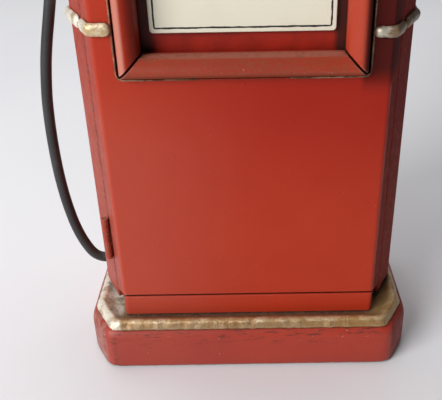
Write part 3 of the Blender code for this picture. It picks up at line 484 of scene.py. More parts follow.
def felt(name):
    """Dark green felt."""
    look = Look(name, 0.95, specular=0.1)
    look.shader.inputs["Sheen Weight"].default_value = 0.4
    fibre = look.noise(1900, 4, 0.8)
    look.colour = look.mix(look.span(fibre, 0.35, 0.65), (0.018, 0.030, 0.020), (0.06, 0.085, 0.06))
    return look.finish(look.bump(fibre, 0.8, 0.0006))


def opal(name):
    """Milky glass, cloudy and dusty at its rim."""
    look = Look(name, 0.22, coat=0.5)
    cloud = look.noise(38, 4, 0.55)
    look.colour = look.mix(look.span(cloud, 0.35, 0.7), (0.80, 0.78, 0.70), (0.88, 0.865, 0.80))
    look.over((0.30, 0.24, 0.15), look.crevice(0.005, 0.4, 0.85), 0.6)
    look.shader.inputs["Subsurface Weight"].default_value = 0.25
    look.shader.inputs["Subsurface Scale"].default_value = 0.004
    return look.finish(look.bump(cloud, 0.04, 0.001))


def paper_floor(name):
    """Pale seamless paper."""
    look = Look(name, 0.62, specular=0.35)
    look.colour = look.mix(look.span(look.noise(3.0, 3), 0.3, 0.7), (0.76, 0.76, 0.775), (0.79, 0.79, 0.80))
    return look.finish(look.bump(look.noise(420, 3), 0.03, 0.0005))


# ---------------- lines in plan

def octagon(plan):
    """The eight corners of a plan, anticlockwise from the right front."""
    front, depth, side, side_depth = plan
    quarter = [Vector((front, -depth)), Vector((side, -side_depth))]
    right = quarter + [Vector((point.x, -point.y)) for point in reversed(quarter)]
    return right + [Vector((-point.x, point.y)) for point in reversed(right)]


def offset(points, distance, closed=True):
    """Moves a line to its right by a distance, with mitred corners."""
    moved = []
    count = len(points)
    for index, point in enumerate(points):
        ways = []
        if closed or index:
            ways.append((point - points[index - 1]).normalized())
        if closed or index < count - 1:
            ways.append((points[(index + 1) % count] - point).normalized())
        sides = [Vector((way.y, -way.x)) for way in ways]
        mean = sum(sides, Vector((0.0, 0.0))).normalized()
        moved.append(point + mean * (distance / mean.dot(sides[0])))
    return moved


def filleted(points, radius, closed=True, steps=6):
    """Replaces each corner of a line with an arc."""
    made = []
    count = len(points)
    for index, point in enumerate(points):
        if not closed and index in (0, count - 1):
            made.append(point.copy())
            continue
        back = (points[index - 1] - point).normalized()
        on = (points[(index + 1) % count] - point).normalized()
        half = back.angle(on) / 2
        centre = point + (back + on).normalized() * (radius / math.sin(half))
        start = point + back * (radius / math.tan(half)) - centre
        end = point + on * (radius / math.tan(half)) - centre
        turn = math.atan2(start.x * end.y - start.y * end.x, start.dot(end))
        for step in range(steps + 1):
            made.append(centre + Matrix.Rotation(turn * step / steps, 2) @ start)
    return made


def rectangle(low_x, high_x, low_z, high_z):
    """The four corners of a rectangle, anticlockwise."""
    return [Vector((low_x, low_z)), Vector((high_x, low_z)), Vector((high_x, high_z)),
            Vector((low_x, high_z))]


def corner(side, end):
    """A body corner: front point, seam point and flank point. side and end are +1 or -1."""
    front = Vector((side * BODY_PLAN[0], end * BODY_PLAN[1]))
    flank = Vector((side * BODY_PLAN[2], end * BODY_PLAN[3]))
    return front, front.lerp(flank, SEAM_SHARE), flank


def toward(start, end, distance):
    """The point at a distance from start on the way to end."""
    return start + (end - start).normalized() * distance


def smooth(points, spacing):
    """Points at an even spacing along a Catmull-Rom curve."""
    ends = [2 * points[0] - points[1], *points, 2 * points[-1] - points[-2]]
    fine = []
    for a, b, c, d in zip(ends, ends[1:], ends[2:], ends[3:]):
        for step in range(12):
            t = step / 12
            fine.append(0.5 * (2 * b + (c - a) * t + (2 * a - 5 * b + 4 * c - d) * t ** 2
                               + (3 * b - a - 3 * c + d) * t ** 3))
    fine.append(points[-1].copy())
    lengths = [0.0]
    for a, b in zip(fine, fine[1:]):
        lengths.append(lengths[-1] + (b - a).length)
    count = max(2, round(lengths[-1] / spacing))
    even, index = [], 0
    for number in range(count + 1):
        goal = lengths[-1] * number / count
        while index < len(fine) - 2 and lengths[index + 1] < goal:
            index += 1
        share = (goal - lengths[index]) / (lengths[index + 1] - lengths[index])
        even.append(fine[index].lerp(fine[index + 1], min(1.0, share)))
    return even


# ---------------- meshes

def new_object(name, bm, *looks):
    """Makes an object from a bmesh and frees it."""
    bmesh.ops.recalc_face_normals(bm, faces=bm.faces)
    mesh = bpy.data.meshes.new(name)
    bm.to_mesh(mesh)
    bm.free()
    mesh.shade_smooth()
    obj = bpy.data.objects.new(name, mesh)
    for look in looks:
        mesh.materials.append(look)
    bpy.context.scene.collection.objects.link(obj)
    return obj


def join_rings(bm, rings, closed=True):
    """Faces between rings of vertices of the same length."""
    for low, high in zip(rings, rings[1:]):
        count = len(low)
        for i in range(count if closed else count - 1):
            j = (i + 1) % count
            bm.faces.new((low[i], low[j], high[j], high[i]))


def prism(bm, outline, low, high, inner_from=None):
    """An upright prism. Side faces from corner inner_from on take the second material."""
    bottom = [bm.verts.new((p.x, p.y, low)) for p in outline]
    top = [bm.verts.new((p.x, p.y, high)) for p in outline]
    bm.faces.new(bottom[::-1])
    bm.faces.new(top)
    for i in range(len(outline)):
        j = (i + 1) % len(outline)
        face = bm.faces.new((bottom[i], bottom[j], top[j], top[i]))
        if inner_from is not None and inner_from <= i < len(outline) - 1:
            face.material_index = 1
    return bm


def facing_prism(outline, front, back):
    """A prism whose outline is x and z, from y = front to y = back."""
    bm = prism(bmesh.new(), outline, -back, -front)
    bmesh.ops.transform(bm, matrix=FACING, verts=bm.verts)
    return bm


def rod(radius, depth, matrix, segments):
    """A plain round bar, used as a cutter."""
    bm = bmesh.new()
    bmesh.ops.create_cone(bm, cap_ends=True, segments=segments, radius1=radius, radius2=radius,
                          depth=depth, matrix=matrix)
    return bm


def slab(low_x, high_x, low_z, high_z, radius, front, back, steps=6):
    """An upright plate with rounded corners, from y = front to y = back."""
    outline = filleted(rectangle(low_x, high_x, low_z, high_z), radius, True, steps)
    return facing_prism(outline, front, back)


def lifted(level, *points, reach=0.0):
    """Profile points measured from a reach and a level."""
    return [(reach + out, level + rise) for out, rise in points]


def soften(obj, width, segments=3, angle=32):
    """Rounds the sharp edges of a piece."""
    bevel = obj.modifiers.new("rounding", "BEVEL")
    bevel.width = width
    bevel.segments = segments
    bevel.limit_method = "ANGLE"
    bevel.angle_limit = math.radians(angle)
    bevel.harden_normals = True
    bevel.use_clamp_overlap = False
    return obj


def evaluated(obj):
    """A piece's mesh with its modifiers applied."""
    bpy.context.view_layer.update()
    return bpy.data.meshes.new_from_object(obj.evaluated_get(bpy.context.evaluated_depsgraph_get()))


def cut(obj, bm, operation="DIFFERENCE"):
    """Takes a bmesh's shape out of an object, or joins it on."""
    cutter = new_object("cutter", bm)
    boolean = obj.modifiers.new("cut", "BOOLEAN")
    boolean.operation = operation
    boolean.object = cutter
    mesh = evaluated(obj)
    obj.modifiers.clear()
    obj.data = mesh
    bpy.data.objects.remove(cutter)
    return obj


def wobble(point, size, seed):
    """A smooth pseudo-random number from -1 to 1 for a place."""
    return noise.noise(point / size + Vector((seed * 7.31, seed * 3.7, seed * 1.9)))


def wall(name, line, low, high, outside, inside, radius=0.0025):
    """An upright board that follows a line in plan, with rounded corners, thickened to its left."""
    outer = filleted(line, radius, False)
    inner = filleted(offset(line, -WALL, False), 0.0008, False, 3)
    bm = prism(bmesh.new(), outer + inner[::-1], low, high, len(outer))
    return new_object(name, bm, outside, inside)


def turned(name, profile, steps, matrix, look, closed=False):
    """A turned piece. The profile is radius and height; radius 0 closes it at a point."""
    bm = bmesh.new()
    rings = []
    for radius, height in profile:
        if radius == 0:
            rings.append([bm.verts.new(matrix @ Vector((0, 0, height)))])
            continue
        rings.append([bm.verts.new(matrix @ Vector((radius * math.cos(2 * math.pi * i / steps),
                                                    radius * math.sin(2 * math.pi * i / steps),
                                                    height))) for i in range(steps)])
    pairs = list(zip(rings, rings[1:]))
    if closed:
        pairs.append((rings[-1], rings[0]))
    for low, high in pairs:
        for i in range(steps):
            j = (i + 1) % steps
            quad = [low[i % len(low)], low[j % len(low)], high[j % len(high)], high[i % len(high)]]
            corners = list(dict.fromkeys(quad))
            if len(corners) > 2:
                bm.faces.new(corners)
    return new_object(name, bm, look)


def rounded_profile(points, radius, steps=4):
    """A turned or swept profile with its corners rounded. Ends stay where they are."""
    return [(p.x, p.y) for p in filleted([Vector(p) for p in points], radius, False, steps)]


def swept(name, line, profile, look, closed=True, spacing=0.0012, relax=8, lumps=0.0, lump_size=0.006,
          seed=1, taper=0.0, cap=True):
    """A profile of (outward, height) pairs carried along a line in plan. relax rounds the corners,
    lumps moves the surface in and out, taper rounds off the ends of an open line."""
    count = len(line) if closed else len(line) - 1
    marks = []
    for i in range(count):
        length = (line[(i + 1) % len(line)] - line[i]).length
        parts = max(2, round(length / spacing))
        marks += [(i, part / parts) for part in range(parts)]
    if not closed:
        marks.append((count - 1, 1.0))
    middle = sum((z for _, z in profile), 0.0) / len(profile)
    rows = []
    for outward, z in profile:
        moved = offset(line, outward, closed)
        row = [moved[i].lerp(moved[(i + 1) % len(moved)], t) for i, t in marks]
        for _ in range(relax):
            before = row
            row = [p if not closed and k in (0, len(before) - 1)
                   else p * 0.5 + (before[k - 1] + before[(k + 1) % len(before)]) * 0.25
                   for k, p in enumerate(before)]
        rows.append([Vector((p.x, p.y, z)) for p in row])
    if taper:
        base = rows[0]
        distances = [0.0]
        for a, b in zip(base, base[1:]):
            distances.append(distances[-1] + (b - a).length)
        for k, along in enumerate(distances):
            near = min(along, distances[-1] - along)
            if near < taper:
                size = max(0.12, math.sqrt(1 - (1 - near / taper) ** 2))
                heart = Vector((base[k].x, base[k].y, middle))
                for row in rows:
                    row[k] = heart.lerp(row[k], size)
    if lumps:
        inner = [p.copy() for p in rows[0]]
        for row in rows:
            for k, point in enumerate(row):
                out = point - Vector((inner[k].x, inner[k].y, middle))
                if out.length > 1e-5:
                    shift = wobble(point, lump_size, seed) + 0.5 * wobble(point, lump_size / 3, seed + 2)
                    row[k] = point + out.normalized() * (lumps * shift)
    bm = bmesh.new()
    rings = [[bm.verts.new(p) for p in row] for row in rows]
    join_rings(bm, rings, closed)
    if not closed:
        join_rings(bm, [rings[-1], rings[0]], False)
        bm.faces.new([ring[0] for ring in rings])
        bm.faces.new([ring[-1] for ring in rings])
    elif cap:
        bm.faces.new(rings[0])
        bm.faces.new(rings[-1])
    else:
        join_rings(bm, [rings[-1], rings[0]])
    return new_object(name, bm, look)


def tube(name, points, radius, look, sides=16, hollow=0.0):
    """A round bar or hose along points, which lie in a plane of constant y."""
    bm = bmesh.new()
    rings, inner = [], []
    for index, point in enumerate(points):
        ahead = points[min(index + 1, len(points) - 1)] - points[max(index - 1, 0)]
        across = Vector((0, 1, 0))
        up = ahead.normalized().cross(across)
        ring = [point + (across * math.cos(2 * math.pi * i / sides)
                         + up * math.sin(2 * math.pi * i / sides)) * radius for i in range(sides)]
        rings.append([bm.verts.new(p) for p in ring])
        inner.append([point.lerp(p, 1 - hollow / radius) for p in ring])
    join_rings(bm, rings)
    bm.faces.new(rings[0])
    if hollow:
        depth = [rings[-1]] + [[bm.verts.new(p) for p in row] for row in inner[:-4:-1]]
        join_rings(bm, depth)
        bm.faces.new(depth[-1])
    else:
        bm.faces.new(rings[-1])
    return new_object(name, bm, look)


def brushed_line(name, outline, half_width, front, look, bare_half=0.0):
    """A thin uneven line of paint on an upright face. It fades out within bare_half of the middle."""
    dense = []
    for a, b in zip(outline, outline[1:] + outline[:1]):
        parts = max(1, round((b - a).length / 0.0011))
        dense += [a.lerp(b, part / parts) for part in range(parts)]
    thinnest = 0.08 if bare_half else 0.25
    bm = bmesh.new()
    rings = []
    for sign, depth in ((1, 0.0), (1, 0.00006), (-1, 0.00006), (-1, 0.0)):
        ring = []
        for point, plain in zip(offset(dense, sign * half_width), dense):
            place = Vector((plain.x, 0, plain.y))
            width = 1 + 0.55 * wobble(place, 0.004, 3 + sign) + 0.30 * wobble(place, 0.0015, 9)
            if abs(plain.x) < bare_half:
                width = 0.0
            spot = plain + (point - plain) * max(thinnest, width)
            ring.append(bm.verts.new((spot.x, front - depth, spot.y)))
        rings.append(ring)
    join_rings(bm, rings + rings[:1])
    return new_object(name, bm, look)


def put(obj, body, slot, *nodes):
    """Rides a piece on a body and stands it in for CAD nodes. The slot, a finish's name, is not used."""
    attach(obj, body)
    if nodes:
        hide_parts(*nodes)
    return obj


def heights(node):
    """The lowest and highest z of a CAD node."""
    low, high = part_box(node)
    return low.z, high.z


def route(points, spacing):
    """A smooth line through x and z points in the hose's plane."""
    return smooth([Vector((x, HOSE_Y, z)) for x, z in points], spacing)


# ---------------- the pieces

def make_ferrule(look):
    """The ribbed brass sleeve that grips the hose's upper end."""
    axis = Matrix.Translation((NOZZLE_X, HOSE_Y, 0))
    low, high = heights("nozzle_ferrule")
    profile = lifted(low, (0, 0), (0.0038, 0), (0.0042, 0.0003), (0.0044, 0.0012))
    for number in range(4):
        profile += lifted(low + 0.0026 + number * 0.0013, (0.0045, -0.0004), (0.00478, 0),
                          (0.0045, 0.0004))
    profile += lifted(high, (0.0044, -0.0010), (0.0044, -0.0003), (0.0041, 0), (0, 0))
    put(turned("ferrule", profile, 40, axis, look), "nozzle", "brass", "nozzle_ferrule")


def make_hose(look):
    """One smooth hose from the bush in the left wall up to the nozzle's ferrule."""
    points = route(HOSE_ROUTE, 0.0016)
    hose = tube("hose_line", points, HOSE_RADIUS, look, 24)
    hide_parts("hose")
    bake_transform(hose)
    low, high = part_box("hose_bush")
    outward = (Matrix.Translation((high.x, HOSE_Y, (low.z + high.z) / 2))
               @ Matrix.Rotation(-math.pi / 2, 4, "Y"))
    long = high.x - low.x
    profile = [(0, 0), (0.0033, 0)] + rounded_profile(
        ((0.0033, 0.0002), (0.0033, long - 0.0014), (0.0038, long - 0.0010), (0.0038, long),
         (0.0031, long)), 0.00025) + [(0, long)]
    put(turned("hose_bush_turned", profile, 32, outward, look), "cabinet", "black_rubber", "hose_bush")


def make_plinth(red, gold):
    """The plinth block with its rounded shoulder, and the gold ledge on top of it."""
    low, high = heights("plinth")
    high -= LEDGE_LAP
    line = offset(octagon(PLINTH_PLAN), -0.0002)
    profile = lifted(low, (-0.0020, 0), (-0.0009, 0.0002), (-0.0003, 0.0008), (0.0, 0.0020), (0.0, 0.0090))
    profile += lifted(high, (0.0, -0.0095), (-0.0001, -0.0066), (-0.0005, -0.0044), (-0.0012, -0.0027),
                      (-0.0022, -0.0014), (-0.0034, -0.0006), (-0.0048, -0.0001), (-0.0064, 0),
                      (-0.0100, 0))
    plinth = swept("plinth_block", line, profile, red, relax=22, lumps=0.00016, lump_size=0.009)
    put(plinth, "cabinet", "red_paint", "plinth")

    low, high = heights("ledge_moulding")
    low -= LEDGE_LAP
    flange = 0.0280
    line = octagon(LEDGE_PLAN)
    profile = [(-0.0250, low)]
    profile += lifted(flange, (-0.0250, 0), (-0.0160, 0), (-0.0105, 0), (-0.0088, 0.0001),
                      (-0.0074, 0.0004), (-0.0062, 0.0009), (-0.0050, 0.0014))
    profile += lifted(high, (-0.0040, -0.0004), (-0.0032, -0.0001), (-0.0022, 0), (-0.0013, -0.0004),
                      (-0.0006, -0.0011), (-0.0001, -0.0020))
    profile += lifted(low, (0.0002, 0.0018), (0.0009, 0.0007), (0.0012, 0))
    ledge = swept("ledge_bead", line, profile, gold, relax=7, lumps=0.00042, lump_size=0.0034, cap=False)
    put(ledge, "cabinet", "gold_paint", "ledge_moulding")


def make_body(red, inner, edge_look):
    """Side walls, skirt, back and door, as boards with rounded corners."""
    low, high = heights("side_wall_left")
    for side, word in ((-1, "left"), (1, "right")):
        _, front_seam, front_flank = corner(side, -1)
        _, rear_seam, rear_flank = corner(side, 1)
        line = [toward(front_seam, front_flank, SEAM / 2), front_flank, rear_flank,
                toward(rear_seam, rear_flank, SEAM / 2)]
        if side < 0:
            line.reverse()
        piece = wall("side_" + word, line, low, high, red, inner, 0.0030)
        node = "side_wall_" + word
        if side < 0:
            cut_hinge_seats(piece, 1)
            start = Matrix.Translation((-0.0820, HOSE_Y, HOSE_ROUTE[0][1]))
            cut(piece, rod(HOSE_HOLE, 0.012, start @ Matrix.Rotation(math.pi / 2, 4, "Y"), 32))
        put(soften(piece, 0.0009), "cabinet", "red_paint", node)

    left, left_seam, left_flank = corner(-1, -1)
    right, right_seam, right_flank = corner(1, -1)
    low, high = heights("skirt")
    line = [left.lerp(left_flank, 0.05), left, right, right.lerp(right_flank, 0.05)]
    skirt = wall("skirt_board", line, low, high, red, inner)
    cut(skirt, foot_cutter(FOOT_LINE - 0.0006, 0.0600))
    put(soften(skirt, 0.0008), "cabinet", "red_paint", "skirt")

    rear_left, rear_left_seam, _ = corner(-1, 1)
    rear_right, rear_right_seam, _ = corner(1, 1)
    line = [toward(rear_right_seam, rear_right, SEAM / 2), rear_right, rear_left,
            toward(rear_left_seam, rear_left, SEAM / 2)]
    back = wall("back_board", line, *heights("back_panel"), red, inner)
    for number in range(1, 5):
        low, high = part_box("back_screw_" + str(number))
        cut(back, rod(SCREW_HOLE, 0.05, Matrix.Translation((low + high) / 2) @ FACING, 20))
    put(soften(back, 0.0008), "cabinet", "red_paint", "back_panel")

    line = [toward(left_seam, left, SEAM / 2), left, right, toward(right_seam, right, SEAM / 2)]
    door = wall("door_board", line, *heights("door_panel"), red, inner)
    cut(door, foot_cutter(FOOT_LINE, 0.0100))
    low, high = heights("frame_bottom")[0], heights("frame_top")[1]
    opening = filleted(rectangle(-FRAME_HALF - FRAME_EDGE, FRAME_HALF + FRAME_EDGE, low - GAP,
                                 high + FRAME_EDGE), 0.0026)
    cut(door, facing_prism(opening, -0.060, -0.030))
    cut_hinge_seats(door, -1)
    put(soften(door, 0.0007), "door", "red_paint", "door_panel")
    rubbed = offset(opening, 0.00055)
    put(brushed_line("rubbed_edge", rubbed, 0.00034, -BODY_PLAN[1], edge_look, 0.0220), "door", "red_paint")


def foot_cutter(level, far):
    """Cuts above or below the joint between skirt and door, which drops across the corner faces."""
    drop = 0.0074
    out = 0.0800
    near = BODY_PLAN[0]
    line = [Vector((-out, level - drop)), Vector((-near, level)), Vector((near, level)),
            Vector((out, level - drop))]
    line = filleted(line, 0.0022, False, 4)
    line += [Vector((out, far)), Vector((-out, far))]
    return facing_prism(line, -0.060, -0.020)


def seam_frame():
    """A matrix at the left front seam: X towards the side wall, Y outwards, Z up."""
    front, seam, flank = corner(-1, -1)
    along = (flank - front).normalized()
    rows = ((along.x, -along.y, 0, seam.x), (along.y, along.x, 0, seam.y), (0, 0, 1, 0), (0, 0, 0, 1))
    return Matrix(rows)


def cut_hinge_seats(piece, side):
    """Sinks the hinge leaves' seats into the wall (side 1) or the door (side -1)."""
    for number in (1, 2):
        low, high = heights("hinge_leaf_wall_" + str(number))
        bm = bmesh.new()
        near, far = sorted((0.0, side * 0.00115))
        grow = Matrix.Translation(((near + far) / 2, -0.0025, (low + high) / 2)) @ Matrix.Diagonal(
            (far - near, WALL + 0.004, high - low + 2 * GAP, 1))
        bmesh.ops.create_cube(bm, size=1.0, matrix=seam_frame() @ grow)
        cut(piece, bm)


# The frame's section from its outer edge inwards: distance inwards and distance to the front
FRAME_PROFILE = ((0.0, 0.0508), (0.0010, 0.0536), (0.0024, 0.0553), (0.0040, 0.0559), (0.0066, 0.0547),
                 (0.0094, 0.0522))
FRAME_STEP = ((0.0098, 0.0515), (0.0100, 0.0500), (0.0102, 0.0492), (0.0105, 0.0484))


def make_frame(looks):
    """The four mitred mouldings round the display."""
    low, high = heights("frame_bottom")[0], heights("frame_top")[1]
    middle, half_height = (low + high) / 2, (high - low) / 2
    crest = smooth([Vector((a, b, 0)) for a, b in FRAME_PROFILE], 0.0009)
    profile = [(0.0, 0.0450)] + [(p.x, p.y) for p in crest] + list(FRAME_STEP) + [(0.0105, 0.0450)]
    steps = 40
    members = (("bottom", 0, half_height, FRAME_HALF), ("right", 90, FRAME_HALF, half_height),
               ("top", 180, half_height, FRAME_HALF), ("left", 270, FRAME_HALF, half_height))
    for word, turn, reach, half_length in members:
        place = (Matrix.Translation((0, 0, middle)) @ Matrix.Rotation(math.radians(-turn), 4, "Y")
                 @ Matrix.Translation((0, 0, -reach)))
        upright = word in ("left", "right")
        mitre_gap = 0.0010 if upright else GAP
        bm = bmesh.new()
        rings = []
        for step in range(steps + 1):
            ring = []
            for inward, depth in profile:
                reach_x = half_length - mitre_gap - inward
                x = -reach_x + 2 * reach_x * step / steps
                point = place @ Vector((x, -depth, inward))
                if 0.0005 < inward < 0.0100 and depth > 0.0489:
                    point.y += 0.00012 * wobble(point, 0.009, turn + 1)
                ring.append(bm.verts.new(point))
            rings.append(ring)
        join_rings(bm, rings)
        bm.faces.new(rings[0])
        bm.faces.new(rings[-1])
        piece = new_object("moulding_" + word, bm, looks[word])
        put(soften(piece, 0.0007 if upright else GAP, 3, 50), "door", "red_paint", "frame_" + word)


def make_display(cream, ink, panel):
    """The cream plate with its painted line, and the number panel with two rows of figures."""
    low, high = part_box("display_plate")
    plate = new_object("plate", slab(low.x, high.x, low.z, high.z, 0.0018, low.y, high.y), cream)
    put(soften(plate, 0.0005), "door", "cream_plate", "display_plate")

    # the painted line just inside the plate's edge, uneven as a brush leaves it
    inset, half_line = 0.0024, 0.00040
    middle = filleted(rectangle(low.x + inset, high.x - inset, low.z + inset, high.z - inset), 0.0008)
    put(brushed_line("plate_line", middle, half_line, low.y, ink), "door", "cream_plate")

    low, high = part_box("counter_panel")
    plate = new_object("number_panel", slab(low.x, high.x, low.z, high.z, 0.0020, low.y, high.y), panel)
    put(soften(plate, 0.0003, 2), "door", "black_plastic", "counter_panel")
    front = low.y
    half_height = 0.0085
    step = 0.0130
    for row, (word, level) in enumerate((("1275", 0.2480), ("0348", 0.2260)), 1):
        for place, figure in enumerate(word):
            x = (place - (len(word) - 1) / 2) * step
            name = "figure_" + str(row) + "_" + str(place + 1)
            pane = slab(x - 0.0056, x + 0.0056, level - half_height, level + half_height, 0.0012,
                        front - 0.0004, front, 4)
            window = new_object("window_" + name, pane, cream)
            put(soften(window, 0.00015, 2), "door", "cream_plate")
            curve = bpy.data.curves.new(name, "FONT")
            curve.body = figure
            curve.size = 0.0150
            curve.extrude = 0.00008
            curve.align_x = curve.align_y = "CENTER"
            text = bpy.data.objects.new(name, curve)
            bpy.context.scene.collection.objects.link(text)
            text.matrix_world = Matrix.Translation((x, front - 0.00045, level)) @ FACING
            mesh = evaluated(text)
            mesh.transform(text.matrix_world)
            bpy.data.objects.remove(text)
            mesh.materials.clear()
            mesh.materials.append(ink)
            digit = bpy.data.objects.new(name, mesh)
            bpy.context.scene.collection.objects.link(digit)
            put(digit, "door", "black_plastic")


def hand_laid(piece, middle):
    """Lowers and thins a bead towards its right-hand end."""
    start, run = -0.0400, 0.0980
    fall, thinning = 0.0031, 0.16
    for vertex in piece.data.vertices:
        share = min(1.0, max(0.0, (vertex.co.x - start) / run))
        vertex.co.z = middle - fall * share + (vertex.co.z - middle) * (1 - thinning * share)


def make_belt(gold):
    """Half-round gold beads, lumpy, with rounded ends."""
    low, high = heights("belt_bead_body")
    middle, half = (low + high) / 2, (high - low) / 2 - 0.0005
    proud = 0.0028
    profile = []
    for step in range(13):
        angle = math.pi * step / 12 - math.pi / 2
        profile.append((GAP + (proud - GAP - 0.0001) * math.cos(angle) ** 0.75 if abs(step - 6) < 6 else GAP,
                        middle + (half - 0.0001) * math.sin(angle)))
    edge = FRAME_HALF + FRAME_EDGE
    round_body = []
    for side, word in ((-1, "left"), (1, "right")):
        front, seam, flank = corner(side, -1)
        rear, _, rear_flank = corner(side, 1)
        on_door = [toward(seam, front, 0.0012), front, Vector((side * edge, front.y))]
        on_wall = [toward(seam, flank, 0.0012), flank, rear_flank, rear]
        if side < 0:
            round_body += on_wall[::-1]
        else:
            on_door.reverse()
            round_body = on_wall + round_body
        piece = swept("belt_" + word, on_door, profile, gold, False, 0.0006, 10, 0.00030, 0.004, side + 3,
                      0.0034)
        hand_laid(piece, middle)
        put(piece, "door", "gold_paint", "belt_bead_door_" + word)
    piece = swept("belt_body", round_body, profile, gold, False, 0.0009, 5, 0.00030, 0.004, 6, 0.0028)
    hand_laid(piece, middle)
    put(piece, "cabinet", "gold_paint", "belt_bead_body")


def make_top(red, gold, lens):
    """Cap, roof, collar and the disc globe."""
    body = octagon(BODY_PLAN)
    low, high = heights("cap")
    profile = lifted(low, (-0.0042, 0), (-0.0012, 0), (-0.0003, 0.0004), (0, 0.0014), (0, 0.0036),
                     (-0.0004, 0.0048), (-0.0013, 0.0054), (-0.0014, 0.0060), (-0.0010, 0.0066),
                     (-0.0003, 0.0076), (-0.0001, 0.0090), (-0.0003, 0.0104), (-0.0011, 0.0117),
                     reach=CROWN)
    profile += lifted(high, (-0.0024, -0.0003), (-0.0040, 0), (-0.0080, 0), reach=CROWN)
    put(swept("cap_block", body, profile, red, relax=10, lumps=0.0001, lump_size=0.012),
        "cabinet", "red_paint", "cap")

    low, high = heights("roof")
    line = offset(body, CROWN - 0.0060)
    bm = bmesh.new()
    rings = []
    for share, scale in ((0, 0.997), (0.04, 1.0), (0.12, 0.985), (0.3, 0.905), (0.5, 0.812), (0.7, 0.728),
                         (0.86, 0.664), (0.94, 0.632), (0.985, 0.612), (1.0, 0.590)):
        ring = filleted([p * scale for p in line], 0.0030, True, 5)
        rings.append([bm.verts.new((p.x, p.y, low + (high - low) * share)) for p in ring])
    join_rings(bm, rings)
    bm.faces.new(rings[0])
    bm.faces.new(rings[-1])
    roof = new_object("roof_block", bm, red)
    put(soften(roof, 0.0006, 2, 50), "cabinet", "red_paint", "roof")

    foot = heights("globe_collar")[0]
    ring_low, ring_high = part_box("globe_ring")
    centre = (ring_low.z + ring_high.z) / 2
    radius = (ring_high.z - ring_low.z) / 2
    top = 0.3660
    bell = lifted(foot, (0.0205, 0), (0.0215, 0.0002), (0.0215, 0.0018), (0.0206, 0.0030),
                  (0.0160, 0.0036), (0.0140, 0.0060))
    bell += lifted(top, (0.0130, -0.0080), (0.0138, -0.0055), (0.0158, -0.0040), (0.0165, -0.0020),
                   (0.0160, -0.0003), (0.0145, 0))
    profile = [(0.0, foot)] + rounded_profile(bell, 0.0004, 3) + [(0.0, top)]
    collar = turned("collar", profile, 64, Matrix.Identity(4), gold)
    facing = Matrix.Translation((0, 0, centre)) @ FACING
    cut(collar, rod(radius + GAP, 0.08, facing, 128))
    put(soften(collar, 0.0002, 2, 50), "cabinet", "gold_paint", "globe_collar")

    width = ring_high.y
    inner = radius - 0.0055
    hoop = lifted(-width, (0, 0.0009), (0.0004, 0.0002), (0.0012, 0), (0.0024, 0.0002), reach=inner)
    hoop += lifted(-width, (-0.0022, 0.0006), (-0.0012, 0.0014), (-0.0005, 0.0026), (-0.0001, 0.0042),
                   (0, 0.0065), reach=radius)
    hoop.append((radius, 0.0))
    hoop += [(r, -h) for r, h in hoop[-2::-1]] + [(inner, 0.0)]
    ring = turned("globe_hoop", hoop, 128, facing, red, True)
    put(ring, "cabinet", "red_paint", "globe_ring")
    rim = inner - GAP
    for word, turn in (("front", 0), ("back", 180)):
        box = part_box("globe_lens_" + word)
        outer = max(abs(box[0].y), abs(box[1].y))
        base = width - 0.0015
        steps = 16
        profile = [(0.0, base - 0.0014), (rim, base - 0.0014), (rim, base - 0.0003)]
        profile += [(rim * math.cos(math.pi / 2 * i / steps) if i < steps else 0.0,
                     base + (outer - base - 0.0001) * (1 - math.cos(math.pi / 2 * i / steps) ** 2) ** 0.92)
                    for i in range(1, steps + 1)]
        spin = Matrix.Rotation(math.radians(turn), 4, "Z")
        put(turned("lens_" + word, profile, 96, spin @ facing, lens), "cabinet", "opal_lens",
            "globe_lens_" + word)


def make_nozzle(steel):
    """The valve body with its lever lugs, the hollow spout and the wire guard."""
    axis = Matrix.Translation((NOZZLE_X, HOSE_Y, 0))
    low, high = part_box("nozzle_body")
    shoulder, valve_top = 0.2620, 0.2820
    profile = lifted(low.z, (0, 0), (0.0043, 0), (0.0047, 0.0004), (0.0048, 0.0030))
    profile += [(0.0050, 0.2352), (0.0048, 0.2430), (0.0046, 0.2500), (0.0047, 0.2560), (0.0050, 0.2600)]
    profile += lifted(shoulder, (0.0054, 0), (0.0072, 0), (0.0078, 0.0004), (0.0080, 0.0012),
                      (0.0080, 0.0034), (0.0077, 0.0042), (0.0077, 0.0050), (0.0080, 0.0058))
    profile += lifted(valve_top, (0.0080, -0.0060), (0.0077, -0.0052), (0.0077, -0.0044),
                      (0.0080, -0.0036), (0.0080, -0.0014), (0.0077, -0.0005), (0.0070, 0),
                      (0.0056, 0.0004), (0.0047, 0.0012), (0.0043, 0.0026))
    profile += lifted(high.z, (0.0041, -0.0003), (0.0038, 0), (0, 0))
    body = turned("valve", profile, 48, axis, steel)
    x, z = -0.1055, 0.2720    # the lever's pin
    for side in (-1, 1):
        across = sorted(HOSE_Y + side * edge for edge in (0.0017, 0.0035))
        lug = slab(x - 0.0022, NOZZLE_X - 0.0058, z - 0.0028, z + 0.0028, 0.0016, *across, 4)
        cut(body, lug, "UNION")
    cut(body, rod(SCREW_HOLE, 0.02, Matrix.Translation((x, HOSE_Y, z)) @ FACING, 24))
    put(soften(body, 0.0002, 2, 50), "nozzle", "steel", "nozzle_body")

    spout = tube("spout", route(SPOUT_LINE, 0.0015), 0.0032, steel, 24, 0.0008)
    put(spout, "nozzle", "steel", "nozzle_spout")
    guard = tube("guard", route(GUARD_LINE, 0.0012), 0.0010, steel, 14)
    put(guard, "nozzle", "steel", "lever_guard")


def dress(nodes, look):
    """Gives CAD nodes a procedural material."""
    for node in nodes:
        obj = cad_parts[node]
        obj.data.materials.clear()
        obj.data.materials.append(look)


